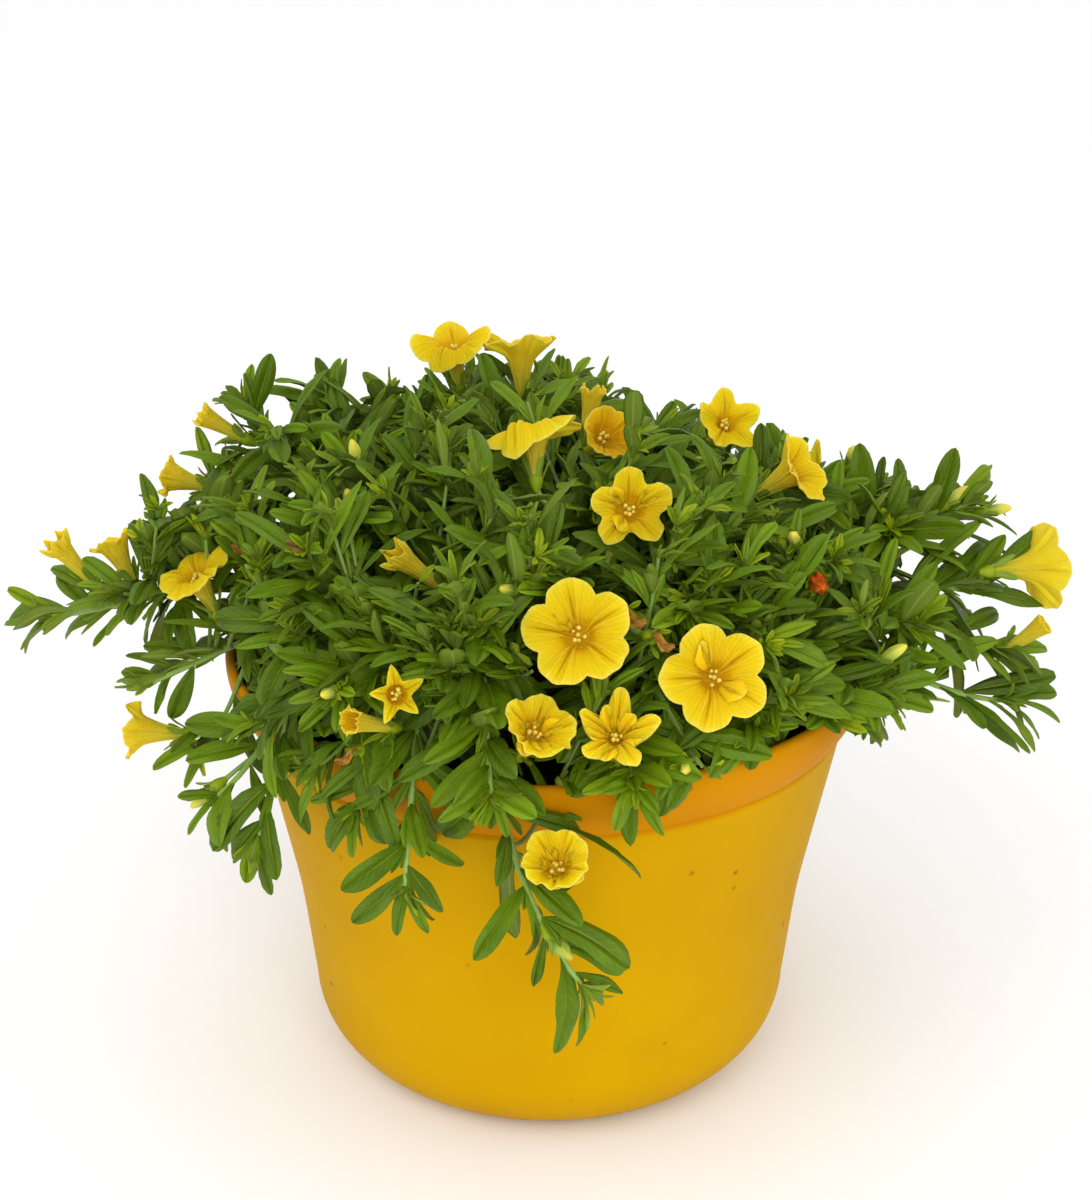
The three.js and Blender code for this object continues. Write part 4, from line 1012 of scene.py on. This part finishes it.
# age: lemon to orange. droop: how far the limb hangs, on the side it falls to. inner: how many petals in its
# inner ruffle. first: a lobe's place. split: a notch at the bottom. notch, full: how deep the notches, how
# full the lobes.
LOOKS = {
    "bloom_front": dict(
        age=0.06, ruffle=0.8, droop=0, inner=2, first=176, lengths=(1.0, 0.96, 1.06, 0.95, 0.94)
    ),
    "bloom_front_right": dict(age=0.1, fall=200, inner=2, first=180, lengths=(1.04, 1.0, 0.94, 0.94, 0.92)),
    "bloom_upper": dict(
        age=0.08, ruffle=1.4, fall=200, inner=3, first=18, lengths=(1.12, 0.96, 0.84, 1.04, 1.04),
        split=0.4, notch=0.31,
    ),
    "bloom_small_star": dict(
        age=0.02, ruffle=0.5, droop=0, first=96, lengths=(1.0, 0.95, 1.0, 0.9, 1.0), notch=0.8
    ),
    "bloom_cup": dict(age=0.04, ruffle=1.6, fall=90, inner=7, first=130, lengths=(1.0, 0.9, 1.1, 1.0, 0.8)),
    "bloom_star": dict(
        age=0.08, ruffle=1.4, droop=0, inner=7, first=84, lengths=(1.0, 0.86, 0.95, 1.08, 0.95), full=2.2
    ),
    "bloom_trailing": dict(ruffle=2.0, droop=0.2, fall=20, inner=6, first=60, lengths=(1, 1, 0.9, 1, 0.9)),
    "bloom_top_side": dict(ruffle=0.5, droop=1.25, fall=55, first=50, lengths=(1.5, 1.2, 1.0, 1.0, 0.95)),
    "bloom_back_left": dict(age=0.08, droop=0.9, fall=330, first=330, lengths=(1.15, 1.0, 1.0, 1.0, 1.1)),
    "bloom_left_side": dict(age=0.06, droop=0.4, fall=320, first=320, lengths=(1.0, 1.1, 1.0, 1.0, 1.0)),
    "bloom_left_pale": dict(age=0.2, ruffle=1.6, lengths=(0.7, 0.85, 0.6, 0.7, 0.9)),
    "bloom_right_bud": dict(ruffle=0.3, droop=0, lengths=(0.45, 0.45, 0.45, 0.45, 0.45), notch=0.15),
    "bloom_top_orange": dict(age=0.3, droop=0.2),
    "bloom_top_wilted": dict(age=0.34, ruffle=2.0, lengths=(1.0, 0.7, 0.9, 0.8, 1.0)),
    "bloom_right_star": dict(age=0.04, fall=270, first=80, notch=0.42, full=2.8),
    "bloom_left_narrow": dict(ruffle=0.3, droop=0, first=70, lengths=(1.0, 0.9, 1.0, 0.9, 0.9)),
    "bloom_left_folded": dict(age=0.16, ruffle=2.0, droop=0.3, lengths=(1.0, 1.0, 0.8, 1.0, 0.8)),
    "bloom_far_right": dict(age=0.02, ruffle=0.25, droop=0, lengths=(1.05, 1.05, 1.05, 1.05, 1.05)),
    "bloom_right_funnel": dict(age=0.06, droop=0.4, fall=200),
}


def eased(share):
    """A share from 0 to 1 with a soft start and end: 3 x^2 - 2 x^3."""
    return share**2 * (3 - 2 * share)


def corolla(foot, axis, form, size, look, index):
    """One corolla as a closed skin, up its outer face and back down its inner one. Up the tube the radius
    grows from 1.1 mm to the throat's. Past it the limb's slope w along it opens from 28 degrees to the form's
    spread and on, and its length at each angle is the lobe's: long at the middle and short at the notches.
    Relief stands square to it: a channel between two ridges down each lobe, pleats round the throat, and a
    ruffle that grows as w cubed."""
    tube_length, throat, spread, notch, point = FORMS[form]
    notch, ruffle = look.get("notch", notch), look["ruffle"]
    scale = size / 12
    side = np.arange(CORNERS)
    angle = 2 * np.pi * side / CORNERS
    lobe = (side * LOBES / CORNERS + 0.5) % 1 * 2 - 1
    bow, edge = np.abs(np.cos(2.5 * angle)), np.abs(np.sin(2.5 * angle))
    centre, apart = 0.25 + 1.4 * notch, lobe * np.pi / LOBES
    inside = np.maximum((1 - centre) ** 2 - (centre * np.sin(apart)) ** 2, 0)
    rounded = centre * np.cos(apart) + np.sqrt(inside)
    share = (1 - point) * rounded + point * (1 - notch * edge ** look.get("full", 0.8 + 0.7 * ruffle))
    drawn = [np.array([draw(900 + index, key, i) for i in range(LOBES)]) for key in range(6)]
    middle = np.arange(LOBES) * 2 * np.pi / LOBES
    own = [np.interp(angle, middle, values, period=2 * np.pi) for values in drawn]
    share = share * (1 + 0.12 * (own[0] - 0.5) * bow)
    share = share * np.interp(angle, middle, look["lengths"], period=2 * np.pi)
    share = share * (1 + 0.015 * np.sin(3 * np.pi * lobe + 2 * own[4]))
    away = (angle + math.radians(look["first"] - 270) + np.pi) % (2 * np.pi) - np.pi
    share = share * (1 - look["split"] * np.exp(-((away / 0.3) ** 2)))
    w = np.linspace(0, 1, 15)[:, None]
    plain = 28 + (spread - 28) * eased(np.clip(w / 0.5, 0, 1))
    side_to = np.clip(np.cos(angle + math.radians(look["first"] - look["fall"])), 0, 1) ** 1.3
    fallen = look["droop"] * 80 * eased(np.clip((w - 0.1) / 0.45, 0, 1)) * side_to
    slope = np.radians(plain + (8 + 34 * (own[1] - 0.35)) * w**3 + fallen)
    step = np.diff(w, axis=0) * (math.sin(math.radians(spread)) / np.sin(np.radians(plain)).mean())
    out = np.vstack([0 * angle, np.cumsum((np.sin(slope[1:]) + np.sin(slope[:-1])) / 2 * step, 0)])
    rise = np.vstack([0 * angle, np.cumsum((np.cos(slope[1:]) + np.cos(slope[:-1])) / 2 * step, 0)])
    limb = (size - throat) * share
    up = np.linspace(0, 1, 7)[:-1, None]
    reach = np.vstack([1.1 + (throat - 1.1) * up**1.7 + 0 * angle, throat + limb * out])
    height = np.vstack([tube_length * up + 0 * angle, tube_length + limb * rise])
    slope = np.vstack([np.radians(6 + 22 * up**3) + 0 * angle, slope])
    w = np.vstack([up - 1, w])
    q = np.clip(w, 0, 1)
    channel = 0.6 * np.exp(-((np.abs(lobe) - 0.26) ** 2) / 0.02) - 0.8 * np.exp(-(lobe**2) / 0.016)
    relief = channel * scale * np.sin(np.pi * np.clip(q * 0.86 + 0.06, 0, 1)) ** 0.7
    relief = relief + (own[2] - 0.35) * 3.4 * min(1, ruffle) * q**1.5 * np.cos(np.pi * lobe) * scale
    relief = relief + 0.14 * np.exp(-q / 0.3) * np.cos(30 * angle) * np.clip(1 + 3 * w, 0, 1)
    wave = np.sin(9 * angle + 6 * own[3]) * 0.55 + np.sin(17 * angle + 9 * own[4]) * 0.35
    wave = wave + np.sin(4 * angle + index) * 0.5
    relief = relief + ruffle * 0.55 * scale * q**3 * wave
    skew = angle + 0.10 * (own[5] - 0.5) * q**2
    faces = []
    for offset in (-0.5, 0.5):
        shift = relief + offset * PETAL
        radius = reach - shift * np.cos(slope)
        level = height + shift * np.sin(slope)
        faces.append(np.stack([radius * np.cos(skew), radius * np.sin(skew), level], -1))
    outer, inner = faces[0], faces[1][:4:-1]
    place = np.concatenate([outer, inner])
    along = np.concatenate([w[:, 0], w[:4:-1, 0]])[:, None] + 0 * angle
    tone = look["age"] + np.concatenate([np.ones(len(outer)), np.zeros(len(inner))])[:, None] + 0 * angle
    marks = np.stack([along, np.abs(lobe) + 0 * along, tone], -1)
    high = square_to(axis)
    right = np.cross(high, axis)
    turn = math.radians(look["first"])
    cos, sin = math.cos(turn), math.sin(turn)
    right, high = right * cos + high * sin, high * cos - right * sin
    place = foot + place[..., :1] * right + place[..., 1:2] * high + place[..., 2:] * axis
    poles = (
        np.concatenate([foot + axis * z, [z / tube_length - 1, 0, look["age"] + (z == 0)]])[None]
        for z in (0, 0.74 * tube_length)
    )
    return skin(np.concatenate([place, marks], -1)[None], *poles)


def stamens(foot, axis, tube_length, throat):
    """Five thin stamens with oval anthers, and a pistil with a round green stigma, standing in the tube's
    mouth."""
    side = square_to(axis)
    made = []
    for i in range(6):
        turn, out = 2 * np.pi * i / 5 + 1.4 * rng.random(), (0.25 + 0.3 * rng.random()) * throat * (i < 5)
        lean = (side * math.cos(turn) + np.cross(axis, side) * math.sin(turn)) * out
        top = foot + axis * (tube_length - 0.6 + 1.0 * rng.random() + 0.8 * (i == 5)) + lean
        base = foot + axis * 3 + lean * 0.3
        path = base + (top - base) * np.linspace(0, 1, 4)[:, None]
        made.append(tube(path, [0.16, 0.16, 0.15, 0.14], 5, (0.5, 0.0, 0.2)))
        bulb = top + axis * 0.75 * np.array([-0.9, -0.45, 0.1, 0.6, 0.9])[:, None]
        girth = np.array([0.2, 0.42, 0.5, 0.36, 0.14]) * (1.2 if i == 5 else 0.8 + 0.4 * rng.random())
        made.append(tube(bulb, girth, 7, (0.5, 0.0, 0.2 if i < 5 else 0.9)))
    return made


def inner_ruffle(foot, axis, tube_length, throat, size, count, tone):
    """Small folded petals that stand round the throat: blades whose marks read as the limb's."""
    radial = spokes(axis, 2 * np.pi * (np.arange(count) + 0.5 * rng.random(count)) / count)
    lean = np.radians(24 + 26 * rng.random(count))[:, None]
    direction = axis * np.cos(lean) + radial * np.sin(lean)
    base = foot + axis * (tube_length - 1.5) + radial * throat * 0.55
    length = size * (0.52 + 0.2 * rng.random(count))
    face = across(-radial + 0.4 * jitter(count), direction)
    bend = 0.3 + 0.7 * rng.random(count)
    tones = np.full(count, tone)
    return blades(base, direction, face, length, bend, length * 0.36, tones, rng.random((count, 4)))


def petal_yellow():
    """Petal skin: clear yellow that deepens to gold at the throat, with a ring of darker veins there, finer
    veins out to a paler margin, painted shade down each lobe's channel and painted highlights on its two
    ridges, a greener tube and outside, and a soft, slightly see-through face."""
    material, shader, where = finish(
        "petal_yellow", Specular_IOR_Level=0.1, Roughness=0.7, Subsurface_Weight=0.6, Subsurface_Scale=0.002,
        Subsurface_Radius=(1.0, 0.85, 0.15),
    )
    along, out, tone = marks_of(where)
    back = ranged(tone, 0.92, 0.99)
    age = calc("SUBTRACT", tone, back)
    fresh = ramp(
        along, (0.0, tint(208, 158, 0)), (0.12, tint(208, 158, 0)), (0.3, tint(216, 171, 1)),
        (0.6, tint(224, 184, 3)), (0.88, tint(229, 194, 16)), (1.0, tint(234, 208, 78)), smooth=False,
    )
    old = ramp(
        along, (0.0, tint(192, 128, 2)), (0.3, tint(204, 136, 6)), (0.8, tint(214, 150, 18)),
        (1.0, tint(216, 164, 48)), smooth=False,
    )
    colour = mixed(calc("MULTIPLY", age, 2.0), fresh, old)
    wander = calc("MULTIPLY_ADD", noise(where, 420, 2), 0.06, out)
    branch = calc("MULTIPLY", calc("ADD", wander, calc("MULTIPLY", along, 0.05)), 34)
    vein = calc("POWER", calc("MULTIPLY_ADD", calc("SINE", branch), 0.5, 0.5), 5)
    colour = mixed(calc("MULTIPLY", vein, ranged(along, 0.0, 0.5, 0.22, 0.05)), colour, tint(184, 134, 2))
    # Painted shade: darker gold down the channel in the middle of each lobe.
    rib = calc("MULTIPLY", ranged(out, 0.0, 0.09, 0.22, 0), ranged(along, 0.3, 1.0, 1, 0.2))
    colour = mixed(rib, colour, tint(190, 150, 4))
    # Painted highlight: paler yellow along the two ridges beside each lobe's channel.
    ridge_highlight = calc("ABSOLUTE", calc("SUBTRACT", wander, 0.3))
    ridge_highlight = calc("MULTIPLY", ranged(ridge_highlight, 0.02, 0.14, 0.32, 0), ranged(along, 0.3, 0.8, 1, 0))
    colour = mixed(ridge_highlight, colour, tint(220, 190, 56))
    patch = calc("MULTIPLY", ranged(noise(where, 160, 3), 0.45, 0.75), 0.22)
    colour = mixed(patch, colour, tint(216, 186, 40))
    outside = ramp(
        along, (0.0, tint(202, 180, 40)), (0.5, tint(214, 186, 38)), (1.0, tint(224, 194, 60)), smooth=False
    )
    streak = calc("MULTIPLY", ranged(out, 0.0, 0.28, 0.6, 0), ranged(along, -0.2, 0.9, 1, 0.1))
    outside = mixed(streak, outside, tint(190, 172, 46))
    colour = mixed(calc("MULTIPLY", back, 0.8), colour, outside)
    colour = mixed(ranged(along, -0.75, -0.05, 0.85, 0), colour, tint(200, 192, 56))
    crinkle = calc("ADD", noise(where, 520, 3, 0.6), calc("MULTIPLY", vein, -0.5))
    coat(shader, colour, crinkle, 0.45, 0.0004)
    return material


def anther_cream():
    """Anthers and filaments: cream to pale green, slightly grainy."""
    material, shader, where = finish("anther_cream", Roughness=0.7)
    colour = ramp(marks_of(where)[2], (0.2, tint(236, 210, 84)), (0.9, tint(200, 190, 60)))
    colour = mixed(ranged(noise(where, 1800, 2), 0.4, 0.7, 0, 0.5), colour, tint(222, 184, 50))
    coat(shader, colour, noise(where, 2600, 2), 0.5, 0.0002)
    return material


petal, cream = petal_yellow(), anther_cream()
for index, (name, (_, at, facing, form, size)) in enumerate(BLOOMS.items()):
    drawn = [draw(800 + key, index) for key in range(4)]
    own = dict(age=0.1 * drawn[0], ruffle=0.6 + 0.8 * drawn[1], droop=0.2 * drawn[2], fall=360 * drawn[3])
    look = PLAIN | LOOKS.get(name, own)
    foot, axis = bloom_foot(at, facing, form, size), heading(*facing)
    tube_length, throat = FORMS[form][:2]
    skins = [(petal, corolla(foot, axis, form, size, look, index))]
    if form != "trumpet":
        skins.extend((cream, part) for part in stamens(foot, axis, tube_length, throat))
    if look["inner"]:
        ruffle = inner_ruffle(foot, axis, tube_length, throat, size, look["inner"], look["age"])
        skins.append((petal, ruffle))
    piece(name.replace("bloom", "flower"), "petal", name, *skins)

# ---- Floor, light and camera ----
# A plain white floor that fills the view, a soft white sky, and two large soft lamps in front: one high at
# the left and one low at the right. The camera looks down at the pot from the front.
bpy.ops.mesh.primitive_plane_add(size=12)
floor = bpy.context.object
floor.name = "floor"
paper, _, _ = finish("paper", Base_Color=tint(250, 250, 250), Roughness=0.9, Specular_IOR_Level=0.1)
floor.data.materials.append(paper)

world = bpy.data.worlds.new("sky")
world.use_nodes = True
world.node_tree.nodes["Background"].inputs["Color"].default_value = (1.0, 1.0, 1.0, 1.0)
world.node_tree.nodes["Background"].inputs["Strength"].default_value = 1.0
bpy.context.scene.world = world
bpy.context.scene.view_settings.view_transform = "Standard"


def lamp(name, place, target, size, power):
    """A square area lamp that looks at a point."""
    light = bpy.data.lights.new(name, "AREA")
    light.size, light.energy = size, power
    made = bpy.data.objects.new(name, light)
    bpy.context.scene.collection.objects.link(made)
    made.location = place
    aim = Vector(target) - Vector(place)
    made.rotation_euler = aim.to_track_quat("-Z", "Y").to_euler()


lamp("key", (-0.45, -0.85, 1.0), (0, 0, 0.1), 0.7, 3)
lamp("front", (0.15, -0.95, 0.5), (0, 0, 0.1), 0.6, 3.5)

IMAGE_HEIGHT, FOCAL_PIXELS, PITCH = 1200, 2730, 24.346
camera = bpy.data.cameras.new("camera")
camera.sensor_width = 36
camera.sensor_fit = "AUTO"
camera.lens = 36 * FOCAL_PIXELS / IMAGE_HEIGHT
eye = bpy.data.objects.new("camera", camera)
bpy.context.scene.collection.objects.link(eye)
eye.location = (-0.0009, -0.6126, 0.3987)
eye.rotation_euler = (math.radians(90 - PITCH), 0, 0)
bpy.context.scene.camera = eye
